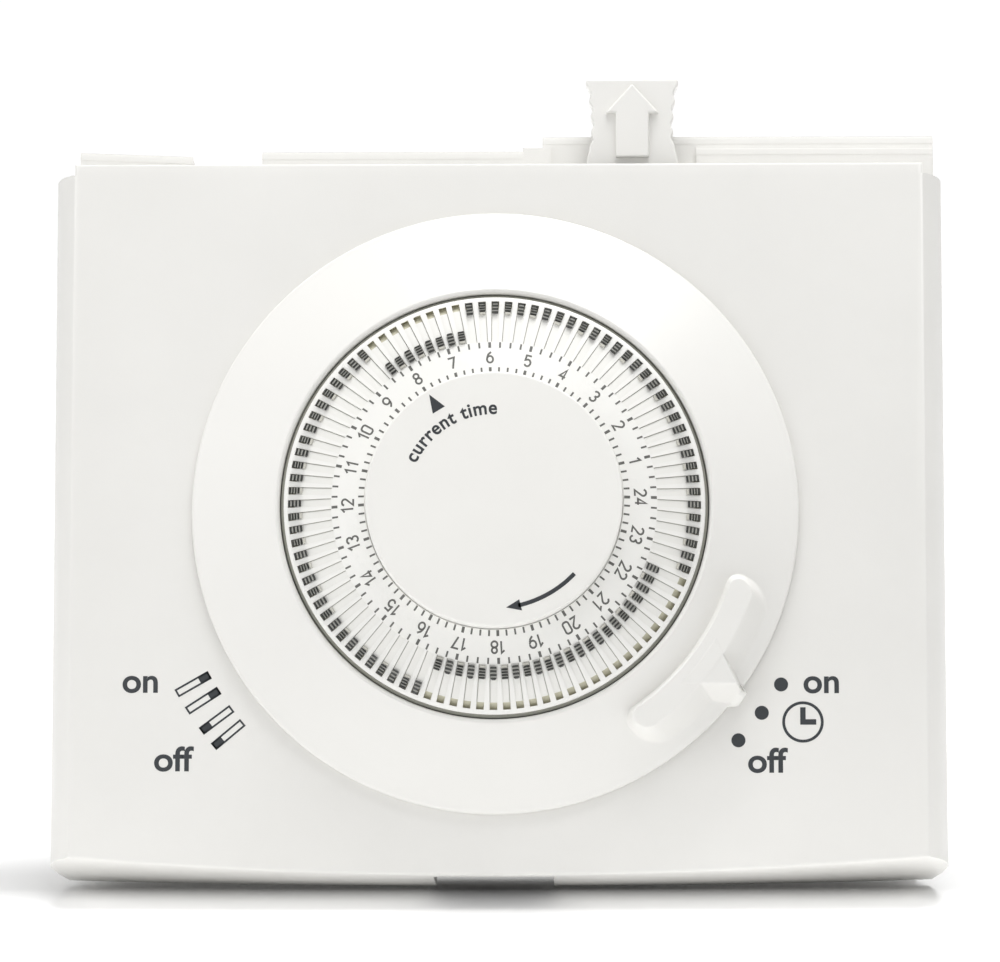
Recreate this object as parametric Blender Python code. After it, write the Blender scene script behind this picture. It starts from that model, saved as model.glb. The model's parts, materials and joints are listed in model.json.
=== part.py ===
"""A plug-in 24-hour heating timer: case, mode ring, programme dial with tappets, drive and latch.

Run with: blender --background --python part.py
Metres, +Z up. The front faces -Y, and the origin is at the middle of the underside.
Positions are given as (x, depth, z), where depth runs back from the front plate's face.
"""

import math

import bmesh
import bpy
from mathutils import Matrix, Vector

MM = 0.001
GAP = 0.3 * MM  # between pieces that meet

# Case
FACE_Y = -10.15 * MM  # the front plate's face, so that the depth is centred on the origin
CASE_HALF_WIDTH = 59.7 * MM
FACE_HALF_WIDTH = 56.8 * MM
FACE_TOP = 95.6 * MM
FLANK_TOP = 94.2 * MM
BOW = 2.4 * MM  # how much lower the front plate's bottom edge is at its middle than at its ends
SKIRT_DEPTH = 21.0 * MM
WALL = 2.0 * MM
TOP_WALL_DEPTH = 6.0 * MM
NOTCH_SPAN = (-8.6 * MM, 7.3 * MM)
REAR_FRONT = 12.3 * MM  # depth at which the rear cover starts
REAR_BACK = 27.0 * MM
REAR_HALF_WIDTH = 56.7 * MM
REAR_BOTTOM = 3.0 * MM
REAR_TOP = 92.8 * MM
RAIL_BASE = 95.0 * MM
RAIL_DEPTH = 7.7 * MM

# Dial and mode ring, on one axis
AXIS = (-0.4 * MM, 48.3 * MM)
RING_RADIUS = 40.3 * MM
RING_BORE = 28.3 * MM
RING_EDGE_DEPTH = -1.0 * MM
GUIDE_RADIUS = 33.7 * MM
RING_STEPS = 60
GRIP_ANGLE = math.radians(-37.1)  # from +X towards +Z
DIAL_RADIUS = 27.75 * MM
DIAL_BORE = 16.95 * MM
DIAL_THICKNESS = 1.3 * MM
DIAL_RISE = 6.9 * MM  # how far the dial's rim stands in front of the plate
DIAL_SLOPE = 0.32  # rise per radial distance, towards the centre
SLOT_INNER = 21.45 * MM
SLOT_OUTER = 27.2 * MM
SLOT_WIDTH = 1.05 * MM
SLOTS = 96
DISC_RADIUS = 16.7 * MM
DISC_RISE = 12.7 * MM
POST_RADIUS = 3.0 * MM
HOUR_24_ANGLE = math.radians(1.62)  # where the scale's 24 stands at rest, from +X towards +Z

# Tappets
TAPPET_WIDTH = 0.85 * MM
TAPPET_LENGTH = 1.65 * MM
TAPPET_ON = 21.65 * MM  # radius of the inner end of a tappet that is pushed in
TAPPET_OFF = 25.4 * MM
TAPPET_RISE = 0.55 * MM
TAPPET_REACH = 2.3 * MM  # how far a tappet goes down through its slot, from the dial's face
FOOT_LENGTH = 0.9 * MM
FOOT_THICKNESS = 0.8 * MM
ON_PERIODS = ((6.5, 8.5), (16.5, 22.5))
OFF_PERIODS = {"tappet_bank_day": (8.5, 16.5), "tappet_bank_night": (22.5, 30.5)}

# Gears
GEAR_MODULE = 0.6 * MM
DIAL_TEETH = 60
IDLER_PINION_TEETH = 12
IDLER_WHEEL_TEETH = 40
MOTOR_TEETH = 10
BACKLASH = 0.14 * MM
IDLER_DIRECTION = math.radians(225)  # from the dial's axis to the idler's
MOTOR_DIRECTION = math.radians(190)  # from the idler's axis to the motor's

# Chassis, switch, latch and connector
CHASSIS_FRONT = 10.0 * MM
CHASSIS_BACK = 12.0 * MM
SCREW_SPOTS = ((-50 * MM, 10 * MM), (50 * MM, 10 * MM), (-50 * MM, 86 * MM), (50 * MM, 86 * MM))
BOSS_RADIUS = 3.4 * MM
SCREW_HOLE = 1.8 * MM
SCREW_SHANK = 1.5 * MM
SCREW_HEAD = 2.9 * MM
MARKER_ANGLE = math.radians(121.3)  # where the current time is read
PEG_RADIUS = 32.8 * MM
SWITCH_HALF_WIDTH = 7.0 * MM
SWITCH_BASE = 20.0 * MM  # how far the switch stands from the dial's axis, towards the marker
SWITCH_TOP = 26.0 * MM
LEVER_PIVOT = (-5.8 * MM, -0.2 * MM, 23.0 * MM)  # across, depth and along the marker's direction
LATCH_X = 18.0 * MM
LATCH_HALF_WIDTH = 6.25 * MM
LATCH_TOP = 108.0 * MM
CONNECTOR_X = 26.0 * MM
CONNECTOR_Z = 36.0 * MM
CONNECTOR_HALF = (12.0 * MM, 6.0 * MM)  # half its width and half its height


def clear_scene():
    for obj in list(bpy.data.objects):
        bpy.data.objects.remove(obj)


def plastic(name, colour, roughness, metallic=0.0):
    made = bpy.data.materials.new(name)
    made.use_nodes = True
    shader = made.node_tree.nodes["Principled BSDF"]
    shader.inputs["Base Color"].default_value = (*colour, 1)
    shader.inputs["Roughness"].default_value = roughness
    shader.inputs["Metallic"].default_value = metallic
    return made


def add(name, points, faces, place=(0, 0), material=None):
    """An object whose axis stands at place (x, z), from points (x, depth, z) about that axis."""
    mesh = bpy.data.meshes.new(name)
    mesh.from_pydata(points, [], faces)
    shape = bmesh.new()
    shape.from_mesh(mesh)
    bmesh.ops.recalc_face_normals(shape, faces=shape.faces)
    shape.to_mesh(mesh)
    shape.free()
    obj = bpy.data.objects.new(name, mesh)
    obj.location = (place[0], FACE_Y, place[1])
    bpy.context.collection.objects.link(obj)
    if material:
        mesh.materials.append(material)
    bpy.context.view_layer.update()
    return obj


def loft(name, sections, place=(0, 0), material=None):
    """A solid through closed sections, which all have the same number of points."""
    count = len(sections[0])
    points = [point for section in sections for point in section]
    faces = [list(range(count)), list(range(len(points) - count, len(points)))]
    for low in range(0, len(points) - count, count):
        for i in range(count):
            j = (i + 1) % count
            faces.append([low + i, low + j, low + count + j, low + count + i])
    return add(name, points, faces, place, material)


def prism(name, outline, front, back, place=(0, 0), material=None):
    """An outline of (x, z) points, extruded from depth front to depth back."""
    sections = [[(x, depth, z) for x, z in outline] for depth in (front, back)]
    return loft(name, sections, place, material)


def box(name, xs, depths, zs, place=(0, 0), material=None):
    outline = [(xs[0], zs[0]), (xs[1], zs[0]), (xs[1], zs[1]), (xs[0], zs[1])]
    return prism(name, outline, depths[0], depths[1], place, material)


def circle(radius, steps, turn=0.0):
    angles = [turn + 2 * math.pi * i / steps for i in range(steps)]
    return [(radius * math.cos(a), radius * math.sin(a)) for a in angles]


def rod(name, radius, front, back, place=(0, 0), steps=16, material=None):
    return prism(name, circle(radius, steps), front, back, place, material)


def turned(name, profile, steps, place=(0, 0), material=None):
    """A closed profile of (radius, depth) points, turned about the axis at place."""
    points = []
    rings = []
    for radius, depth in profile:
        ring_steps = steps if radius > 0 else 1
        rings.append([len(points) + i % ring_steps for i in range(steps + 1)])
        points += [(x, depth, z) for x, z in circle(radius, ring_steps)]
    faces = []
    for i, ring in enumerate(rings):
        after = rings[(i + 1) % len(rings)]
        for k in range(steps):
            corners = [ring[k], ring[k + 1], after[k + 1], after[k]]
            corners = list(dict.fromkeys(corners))
            if len(corners) > 2:
                faces.append(corners)
    return add(name, points, faces, place, material)


def combine(obj, others, operation):
    """Joins the others to the object (UNION) or cuts them from it (DIFFERENCE), and removes them."""
    for other in others:
        modifier = obj.modifiers.new(other.name, "BOOLEAN")
        modifier.operation = operation
        modifier.object = other
    bpy.context.view_layer.update()
    graph = bpy.context.evaluated_depsgraph_get()
    old = obj.data
    obj.data = bpy.data.meshes.new_from_object(obj.evaluated_get(graph))
    obj.modifiers.clear()
    bpy.data.meshes.remove(old)
    for other in others:
        bpy.data.objects.remove(other)
    return obj


def smooth(obj, angle=math.radians(30)):
    obj.data.shade_smooth()
    obj.data.set_sharp_from_angle(angle=angle)
    return obj


def polar(radius, angle):
    return (radius * math.cos(angle), radius * math.sin(angle))


# ---------------------------------------------------------------- case


def cover_section(depth, half_width, rise, inset=0.0):
    """The front cover's outline at a depth: flat top and sides, and a bottom that rises to its ends."""
    steps = 12
    half = half_width - inset
    section = []
    for i in range(steps + 1):
        x = half * (2 * i / steps - 1)
        section.append((x, depth, inset + rise * (x / half_width) ** 2))
    section.append((half, depth, FLANK_TOP - inset))
    section.append((-half, depth, FLANK_TOP - inset))
    return section


def front_cover(material):
    cover = loft(
        "front_cover",
        [
            cover_section(0, FACE_HALF_WIDTH, BOW),
            cover_section(0.6 * MM, 58.1 * MM, BOW * 0.97),
            cover_section(2.2 * MM, 59.2 * MM, BOW * 0.9),
            cover_section(6.0 * MM, CASE_HALF_WIDTH, BOW * 0.7),
            cover_section(SKIRT_DEPTH, CASE_HALF_WIDTH - 0.3 * MM, 0),
        ],
        material=material,
    )
    hollow = loft(
        "hollow",
        [
            cover_section(WALL, FACE_HALF_WIDTH, BOW * 0.9, WALL),
            cover_section(6.0 * MM, CASE_HALF_WIDTH, BOW * 0.7, WALL),
            cover_section(SKIRT_DEPTH + WALL, CASE_HALF_WIDTH - 0.3 * MM, 0, WALL),
        ],
    )
    top = box(
        "top",
        (-FACE_HALF_WIDTH - 0.2 * MM, FACE_HALF_WIDTH + 0.2 * MM),
        (0, TOP_WALL_DEPTH),
        (FLANK_TOP - 1.0 * MM, FACE_TOP),
    )
    combine(cover, [top], "UNION")
    open_top = box(
        "open_top",
        (-CASE_HALF_WIDTH + WALL, CASE_HALF_WIDTH - WALL),
        (TOP_WALL_DEPTH, SKIRT_DEPTH + WALL),
        (FLANK_TOP - 2 * WALL, FACE_TOP + WALL),
    )
    ring_hole = rod("ring_hole", GUIDE_RADIUS + GAP, -WALL, 2 * WALL, AXIS, RING_STEPS)
    latch_slot = box(
        "latch_slot",
        (LATCH_X - LATCH_HALF_WIDTH - GAP, LATCH_X + LATCH_HALF_WIDTH + GAP),
        (WALL + 0.4 * MM, TOP_WALL_DEPTH + WALL),
        (FLANK_TOP - 2 * WALL, FACE_TOP + WALL),
    )
    notch = box(
        "notch",
        NOTCH_SPAN,
        (WALL + 0.5 * MM, SKIRT_DEPTH + WALL),
        (-WALL, 2 * WALL),
    )
    combine(cover, [hollow, open_top, ring_hole, latch_slot, notch], "DIFFERENCE")
    bosses = [
        rod(f"boss_{i}", BOSS_RADIUS, WALL / 2, CHASSIS_FRONT - GAP, spot)
        for i, spot in enumerate(SCREW_SPOTS)
    ]
    combine(cover, bosses, "UNION")
    holes = [
        rod(f"hole_{i}", SCREW_HOLE, 2 * WALL, CHASSIS_FRONT + WALL, spot)
        for i, spot in enumerate(SCREW_SPOTS)
    ]
    return combine(cover, holes, "DIFFERENCE")


def rear_rails():
    """The ledges and the tongue that stand above the front plate, behind it."""
    base = RAIL_BASE
    foot = base - 0.4 * MM
    rail = RAIL_DEPTH
    tongue = [(-56.7 * MM, foot), (-41.5 * MM, foot), (-41.5 * MM, 98.2 * MM), (-56.7 * MM, 98.8 * MM)]
    return [
        box("base_rail", (-56.5 * MM, 57 * MM), (TOP_WALL_DEPTH + GAP, 14 * MM), (base - 4 * MM, base)),
        prism("tongue", tongue, rail, 13 * MM),
        box("long_ledge", (-32.1 * MM, 4 * MM), (rail, 13 * MM), (foot, 98.8 * MM)),
        box("step", (3.2 * MM, 7 * MM), (rail, 13.5 * MM), (foot, 99.3 * MM)),
        box("tall_rail", (5.9 * MM, 58.7 * MM), (rail + 0.6 * MM, 13.8 * MM), (foot, 100.9 * MM)),
        box("front_rail", (26.7 * MM, 58.5 * MM), (rail, 10.5 * MM), (foot, 99.3 * MM)),
    ]


def rear_cover(material):
    half = REAR_HALF_WIDTH
    cover = box(
        "rear_cover", (-half, half), (REAR_FRONT, REAR_BACK), (REAR_BOTTOM, REAR_TOP), (0, 0), material
    )
    hollow = box(
        "hollow",
        (-half + WALL, half - WALL),
        (REAR_FRONT - WALL, REAR_BACK - WALL),
        (REAR_BOTTOM + WALL, REAR_TOP - WALL),
    )
    notch = box(
        "notch",
        NOTCH_SPAN,
        (REAR_FRONT - WALL, REAR_BACK - 2 * WALL),
        (REAR_BOTTOM - WALL, REAR_BOTTOM + 2 * WALL),
    )
    combine(cover, [hollow, notch], "DIFFERENCE")
    bosses = [
        rod(f"boss_{i}", BOSS_RADIUS + MM, REAR_FRONT, REAR_BACK - WALL / 2, spot)
        for i, spot in enumerate(SCREW_SPOTS)
    ]
    combine(cover, rear_rails() + bosses, "UNION")
    cutters = [
        rod(f"hole_{i}", SCREW_HOLE, REAR_FRONT - WALL, REAR_BACK + WALL, spot)
        for i, spot in enumerate(SCREW_SPOTS)
    ]
    cutters += [
        rod(f"sink_{i}", SCREW_HEAD + GAP, REAR_BACK - WALL, REAR_BACK + WALL, spot)
        for i, spot in enumerate(SCREW_SPOTS)
    ]
    window = box(
        "window",
        (CONNECTOR_X - CONNECTOR_HALF[0] - GAP, CONNECTOR_X + CONNECTOR_HALF[0] + GAP),
        (REAR_BACK - 2 * WALL, REAR_BACK + WALL),
        (CONNECTOR_Z - CONNECTOR_HALF[1] - GAP, CONNECTOR_Z + CONNECTOR_HALF[1] + GAP),
    )
    latch_slot = box(
        "latch_slot",
        (LATCH_X - LATCH_HALF_WIDTH - GAP, LATCH_X + LATCH_HALF_WIDTH + GAP),
        (WALL, 7.0 * MM + GAP),
        (REAR_TOP - 2 * WALL, FACE_TOP),
    )
    return combine(cover, cutters + [window, latch_slot], "DIFFERENCE")


def screws(material):
    for i, spot in enumerate(SCREW_SPOTS):
        profile = [
            (0, 5.0 * MM),
            (SCREW_SHANK, 5.5 * MM),
            (SCREW_SHANK, REAR_BACK - WALL + GAP),
            (SCREW_HEAD, REAR_BACK - WALL + GAP),
            (SCREW_HEAD, REAR_BACK - 0.2 * MM),
            (0, REAR_BACK - 0.2 * MM),
        ]
        smooth(turned(f"screw_{i + 1}", profile, 16, spot, material))


# ---------------------------------------------------------------- mode ring


def ring_depth(radius):
    """Depth of the mode ring's sloping face at a radius."""
    edge, lip = (RING_RADIUS, RING_EDGE_DEPTH), (28.9 * MM, -6.75 * MM)
    share = (edge[0] - radius) / (edge[0] - lip[0])
    return edge[1] + share * (lip[1] - edge[1])


def grip():
    """The crescent thumb grip: a flat-topped arc that falls away outwards, with rounded ends."""
    half_span, steps = math.radians(21.0), 14
    inner, crest, outer = 32.2 * MM, 35.9 * MM, 38.2 * MM
    sections = []
    for i in range(steps + 1):
        along = 2 * i / steps - 1
        angle = GRIP_ANGLE + half_span * along
        taper = 0.3 + 0.7 * math.sqrt(max(0.0, 1 - abs(along) ** 8))
        middle = (inner + outer) / 2
        low, top, high = (middle + (radius - middle) * taper for radius in (inner, crest, outer))
        raised = [
            (low, ring_depth(low) + MM),
            (high, ring_depth(high) + MM),
            (high, ring_depth(high) - 0.2 * MM),
            (top, ring_depth(top) - 3.3 * MM * taper),
            (low + 0.5 * MM * taper, ring_depth(low) - 1.9 * MM * taper),
            (low, ring_depth(low) - 1.4 * MM * taper),
        ]
        sections.append([(r * math.cos(angle), d, r * math.sin(angle)) for r, d in raised])
    return loft("grip", sections, AXIS)


def nib():
    """The pointer that runs out from the grip to the ring's edge, flat above and flared below."""
    # Each corner is (radius, depth, distance to the side) in millimetres.
    foot = [
        (35.5, -3.2, -3.1),
        (38.2, -2.2, -2.9),
        (41.3, -1.0, -1.2),
        (41.3, -1.0, 0.5),
        (35.5, -3.2, 2.7),
    ]
    top = [
        (35.5, -6.3, -2.1),
        (38.2, -5.9, -0.9),
        (40.4, -5.3, 0.2),
        (40.6, -5.3, 0.4),
        (35.5, -6.3, 2.5),
    ]
    turn = Matrix.Rotation(-GRIP_ANGLE, 3, "Y")
    sections = []
    for outline in (foot, top):
        spots = [Vector(corner) * MM for corner in outline]
        sections.append([tuple(turn @ spot) for spot in spots])
    return loft("nib", sections, AXIS)


def mode_ring(material):
    bore = RING_BORE
    profile = [
        (RING_RADIUS, -GAP),
        (RING_RADIUS, RING_EDGE_DEPTH),
        (28.9 * MM, -6.75 * MM),
        (bore, -6.4 * MM),
        (bore, 1.0 * MM),
        (bore + 1.4 * MM, 1.0 * MM),
        (bore + 1.4 * MM, -4.9 * MM),
        (GUIDE_RADIUS - 1.8 * MM, -3.9 * MM),
        (GUIDE_RADIUS - 1.8 * MM, 3.6 * MM),
        (GUIDE_RADIUS, 3.6 * MM),
        (GUIDE_RADIUS + 1.1 * MM, 3.1 * MM),
        (GUIDE_RADIUS + 1.1 * MM, WALL + GAP),
        (GUIDE_RADIUS, WALL + GAP),
        (GUIDE_RADIUS, -3.1 * MM),
        (39.0 * MM, -0.8 * MM),
        (39.0 * MM, -GAP),
    ]
    ring = turned("mode_ring", profile, RING_STEPS, AXIS, material)
    peg = box(
        "peg",
        (-MM, MM),
        (3.0 * MM, 6.4 * MM),
        (-PEG_RADIUS - 0.8 * MM, -PEG_RADIUS + 0.8 * MM),
        AXIS,
    )
    combine(ring, [grip(), nib(), peg], "UNION")
    return smooth(ring)


def mode_slide(material):
    z = AXIS[1] - PEG_RADIUS
    place = (AXIS[0], z)
    half = 16 * MM
    bar = box(
        "mode_slide", (-half, half), (4.6 * MM, 6.6 * MM), (-4 * MM, 3.4 * MM), place, material
    )
    slot = box("slot", (-1.3 * MM, 1.3 * MM), (4 * MM, 8 * MM), (-1.6 * MM, 1.8 * MM), place)
    return combine(bar, [slot], "DIFFERENCE")


# ---------------------------------------------------------------- dial


def dial_depth(radius):
    """Depth of the dial's conical face at a radius."""
    return -DIAL_RISE - DIAL_SLOPE * (DIAL_RADIUS - radius)


def slot_angle(hour):
    """Angle of a time of day on the dial at rest, from +X towards +Z."""
    return HOUR_24_ANGLE + 2 * math.pi * hour / 24


def beside(radius, angle, offset):
    """(x, z) of a point at a radius along a slot, moved sideways from the slot's middle line."""
    x, z = polar(radius, angle)
    return (x - offset * math.sin(angle), z + offset * math.cos(angle))


def dial_ring(material):
    """A conical ring with a row of slots and a wall round its rim."""
    radii = (DIAL_BORE, SLOT_INNER, SLOT_OUTER, DIAL_RADIUS)
    rim_back = -3.6 * MM
    # Each line across the ring holds, by these indices, the points of its cross-section.
    bore_front, bore_back, inner_front, inner_back, outer_front, outer_back = range(6)
    rim_front, rim_foot, rim_heel = 6, 7, 8
    points = []
    for k in range(SLOTS):
        angle = slot_angle((k + 0.5) * 24 / SLOTS)
        for side in (-1, 1):
            spots = [beside(radius, angle, side * SLOT_WIDTH / 2) for radius in radii]
            for radius, (x, z) in zip(radii[:3], spots):
                points.append((x, dial_depth(radius), z))
                points.append((x, dial_depth(radius) + DIAL_THICKNESS, z))
            points.append((spots[3][0], dial_depth(DIAL_RADIUS), spots[3][1]))
            points.append((spots[3][0], rim_back, spots[3][1]))
            points.append((spots[2][0], rim_back, spots[2][1]))
    everywhere = [
        (bore_front, bore_back),
        (bore_front, inner_front),
        (bore_back, inner_back),
        (outer_front, rim_front),
        (rim_front, rim_foot),
        (rim_foot, rim_heel),
        (rim_heel, outer_back),
    ]
    over_slot = [(inner_front, inner_back), (outer_front, outer_back)]
    over_land = [(inner_front, outer_front), (inner_back, outer_back)]
    faces = []
    for line in range(2 * SLOTS):
        low = 9 * line
        high = 9 * ((line + 1) % (2 * SLOTS))
        for a, b in everywhere + (over_slot if line % 2 == 0 else over_land):
            faces.append([low + a, low + b, high + b, high + a])
        faces.append([low + i for i in (inner_front, outer_front, outer_back, inner_back)])
    return add("dial_ring", points, faces, AXIS, material)


def tappet(hour, material):
    """One tappet that is pushed in: a tip above the dial, a stem in the slot and a foot behind."""
    angle = slot_angle(hour + 0.125)
    start = Vector((*polar(TAPPET_ON, angle), 0))
    inner, outer = TAPPET_ON, TAPPET_ON + TAPPET_LENGTH
    side_view = [
        (inner, -TAPPET_RISE),
        (outer, -TAPPET_RISE),
        (outer, TAPPET_REACH),
        (inner - FOOT_LENGTH, TAPPET_REACH),
        (inner - FOOT_LENGTH, TAPPET_REACH - FOOT_THICKNESS),
        (inner, TAPPET_REACH - FOOT_THICKNESS),
    ]
    sections = []
    for side in (-1, 1):
        section = []
        for radius, offset in side_view:
            x, z = beside(radius, angle, side * TAPPET_WIDTH / 2)
            section.append((x - start.x, dial_depth(radius) + offset, z - start.y))
        sections.append(section)
    minutes = round(hour * 60)
    name = f"tappet_{minutes // 60:02d}{minutes % 60:02d}"
    return loft(name, sections, (AXIS[0] + start.x, AXIS[1] + start.y), material)


def tappet_bank(name, first, last, material):
    """A row of tappets that are pulled out, joined by the strip behind the dial."""
    count = round((last - first) * SLOTS / 24)
    radii = (TAPPET_OFF, TAPPET_OFF + TAPPET_LENGTH)
    offsets = (TAPPET_REACH, TAPPET_REACH - FOOT_THICKNESS, -TAPPET_RISE)
    points = []
    for k in range(count):
        angle = slot_angle(first + (k + 0.5) * 24 / SLOTS)
        for side in (-1, 1):
            for offset in offsets:
                for radius in radii:
                    x, z = beside(radius, angle, side * TAPPET_WIDTH / 2)
                    points.append((x, dial_depth(radius) + offset, z))
    # Each line holds bottom inner and outer, middle inner and outer, top inner and outer.
    faces = []
    for line in range(2 * count - 1):
        low, high = 6 * line, 6 * (line + 1)
        steps = ((0, 2), (2, 4)) if line % 2 == 0 else ((0, 2),)
        for a, b in steps:
            faces.append([low + a, low + b, high + b, high + a])
            faces.append([low + a + 1, low + b + 1, high + b + 1, high + a + 1])
        crest = 4 if line % 2 == 0 else 2
        faces.append([low, low + 1, high + 1, high])
        faces.append([low + crest, low + crest + 1, high + crest + 1, high + crest])
    for line in range(2 * count):
        low = 6 * line
        faces.append([low + 2, low + 3, low + 5, low + 4])
        if line in (0, 2 * count - 1):
            faces.append([low, low + 1, low + 3, low + 2])
    return add(name, points, faces, AXIS, material)


def tappets(material):
    for first, last in ON_PERIODS:
        for k in range(round((last - first) * SLOTS / 24)):
            tappet(first + k * 24 / SLOTS, material)
    for name, (first, last) in OFF_PERIODS.items():
        tappet_bank(name, first, last, material)


def centre_disc(material):
    profile = [
        (0, -DISC_RISE),
        (DISC_RADIUS - 0.4 * MM, -DISC_RISE),
        (DISC_RADIUS, -DISC_RISE + 0.4 * MM),
        (DISC_RADIUS, -9.2 * MM),
        (DISC_RADIUS - 1.2 * MM, -9.2 * MM),
        (DISC_RADIUS - 1.2 * MM, -DISC_RISE + 1.4 * MM),
        (0, -DISC_RISE + 1.4 * MM),
    ]
    return smooth(turned("centre_disc", profile, 48, AXIS, material))


def centre_post(material):
    profile = [
        (0, -11.0 * MM),
        (POST_RADIUS, -11.0 * MM),
        (POST_RADIUS, 8.9 * MM),
        (6.0 * MM, 8.9 * MM),
        (6.0 * MM, CHASSIS_FRONT - GAP),
        (2.5 * MM, CHASSIS_FRONT - GAP),
        (2.5 * MM, 13.5 * MM),
        (0, 13.5 * MM),
    ]
    return smooth(turned("centre_post", profile, 24, AXIS, material))


def post_clip(material):
    """A C-shaped clip round the post, in front of the dial's hub."""
    steps, opening = 14, math.radians(50)
    outer, inner = 5.6 * MM, POST_RADIUS + GAP
    angles = [opening + (2 * math.pi - 2 * opening) * i / steps for i in range(steps + 1)]
    outline = [polar(outer, a) for a in angles] + [polar(inner, a) for a in reversed(angles)]
    return prism("post_clip", outline, -10.6 * MM, -10.0 * MM, AXIS, material)


# ---------------------------------------------------------------- drive


def gear_outline(teeth, towards, tooth):
    """A gear's outline. It has a tooth in the direction towards, or a gap there if tooth is false."""
    pitch_radius = teeth * GEAR_MODULE / 2
    tip, root = pitch_radius + 0.7 * GEAR_MODULE, pitch_radius - 0.95 * GEAR_MODULE
    half = math.pi * GEAR_MODULE / 4 - BACKLASH / 2
    slope = math.tan(math.radians(20))
    tip_half = (half - 0.7 * GEAR_MODULE * slope) / tip
    root_half = (half + 0.95 * GEAR_MODULE * slope) / root
    pitch = 2 * math.pi / teeth
    start = towards if tooth else towards + pitch / 2
    outline = []
    for i in range(teeth):
        middle = start + i * pitch
        outline.append(polar(root, middle - root_half))
        outline.append(polar(tip, middle - tip_half))
        outline.append(polar(tip, middle + tip_half))
        outline.append(polar(root, middle + root_half))
    return outline


def moved(place, distance, direction):
    x, z = polar(distance, direction)
    return (place[0] + x, place[1] + z)


def idler_place():
    return moved(AXIS, (DIAL_TEETH + IDLER_PINION_TEETH) * GEAR_MODULE / 2, IDLER_DIRECTION)


def motor_place():
    distance = (IDLER_WHEEL_TEETH + MOTOR_TEETH) * GEAR_MODULE / 2
    return moved(idler_place(), distance, MOTOR_DIRECTION)


def dial_gear(material):
    """The toothed wheel, with the hub and the flange that carry the dial ring."""
    bore = POST_RADIUS + 0.1 * MM
    profile = [
        (bore, -9.7 * MM),
        (5.0 * MM, -9.7 * MM),
        (5.0 * MM, -7.4 * MM),
        (20.3 * MM, -7.4 * MM),
        (20.3 * MM, -6.4 * MM),
        (5.4 * MM, -6.4 * MM),
        (5.4 * MM, 8.6 * MM),
        (bore, 8.6 * MM),
    ]
    hub = turned("dial_gear", profile, 32, AXIS, material)
    outline = gear_outline(DIAL_TEETH, IDLER_DIRECTION, True)
    wheel = prism("wheel", outline, 6.0 * MM, 8.5 * MM, AXIS)
    combine(wheel, [rod("bore", 4.2 * MM, 5 * MM, 10 * MM, AXIS, 32)], "DIFFERENCE")
    return smooth(combine(hub, [wheel], "UNION"))


def idler_gear(material):
    place = idler_place()
    pinion = prism(
        "idler_gear",
        gear_outline(IDLER_PINION_TEETH, IDLER_DIRECTION + math.pi, False),
        5.0 * MM,
        8.5 * MM,
        place,
        material,
    )
    outline = gear_outline(IDLER_WHEEL_TEETH, MOTOR_DIRECTION, True)
    wheel = prism("wheel", outline, 4.2 * MM, 5.5 * MM, place)
    combine(pinion, [wheel], "UNION")
    bore = rod("bore", 1.6 * MM, 3 * MM, 10 * MM, place, 20)
    return combine(pinion, [bore], "DIFFERENCE")


def motor_pinion(material):
    place = motor_place()
    outline = gear_outline(MOTOR_TEETH, MOTOR_DIRECTION + math.pi, False)
    pinion = prism("motor_pinion", outline, 4.0 * MM, 6.2 * MM, place, material)
    shaft = rod("shaft", 1.2 * MM, 5 * MM, 14 * MM, place, 16)
    return combine(pinion, [shaft], "UNION")


def motor_body(material):
    profile = [
        (1.5 * MM, CHASSIS_BACK + GAP),
        (17.5 * MM, CHASSIS_BACK + GAP),
        (17.5 * MM, 22.5 * MM),
        (7.0 * MM, 22.5 * MM),
        (7.0 * MM, 23.6 * MM),
        (0, 23.6 * MM),
        (0, 15.0 * MM),
        (1.5 * MM, 15.0 * MM),
    ]
    return smooth(turned("motor_body", profile, 36, motor_place(), material))


# ---------------------------------------------------------------- chassis and switch


def chassis_plate(material):
    plate = box(
        "chassis_plate",
        (-54 * MM, 54 * MM),
        (CHASSIS_FRONT, CHASSIS_BACK),
        (6.5 * MM, 90 * MM),
        (0, 0),
        material,
    )
    bar_z = AXIS[1] - PEG_RADIUS
    guide_x = LATCH_HALF_WIDTH + GAP
    guide = 1.6 * MM
    overlap = CHASSIS_FRONT + WALL / 2
    rest = (AXIS[0] - 20 * MM, AXIS[0] + 20 * MM)
    guide_left = (LATCH_X - guide_x - guide, LATCH_X - guide_x)
    guide_right = (LATCH_X + guide_x, LATCH_X + guide_x + guide)
    guide_zs = (70 * MM, 89 * MM)
    added = [
        rod("axle", 1.5 * MM, 3.8 * MM, overlap, idler_place(), 20),
        box("bar_rest", rest, (6.9 * MM, overlap), (bar_z - 5.6 * MM, bar_z - 2.4 * MM)),
        box("bar_low", rest, (4.6 * MM, overlap), (bar_z - 5.9 * MM, bar_z - 4.3 * MM)),
        box("guide_left", guide_left, (4 * MM, overlap), guide_zs),
        box("guide_right", guide_right, (4 * MM, overlap), guide_zs),
        box("guide_back", (LATCH_X - 2 * MM, LATCH_X + 2 * MM), (7.3 * MM, overlap), (72 * MM, 89 * MM)),
    ]
    combine(plate, added, "UNION")
    holes = [
        rod(f"hole_{i}", SCREW_HOLE, CHASSIS_FRONT - WALL, CHASSIS_BACK + WALL, spot)
        for i, spot in enumerate(SCREW_SPOTS)
    ]
    holes.append(rod("post_hole", 2.8 * MM, 9 * MM, 14 * MM, AXIS, 24))
    holes.append(rod("shaft_hole", 1.6 * MM, 9 * MM, 14 * MM, motor_place(), 16))
    return combine(plate, holes, "DIFFERENCE")


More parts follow.
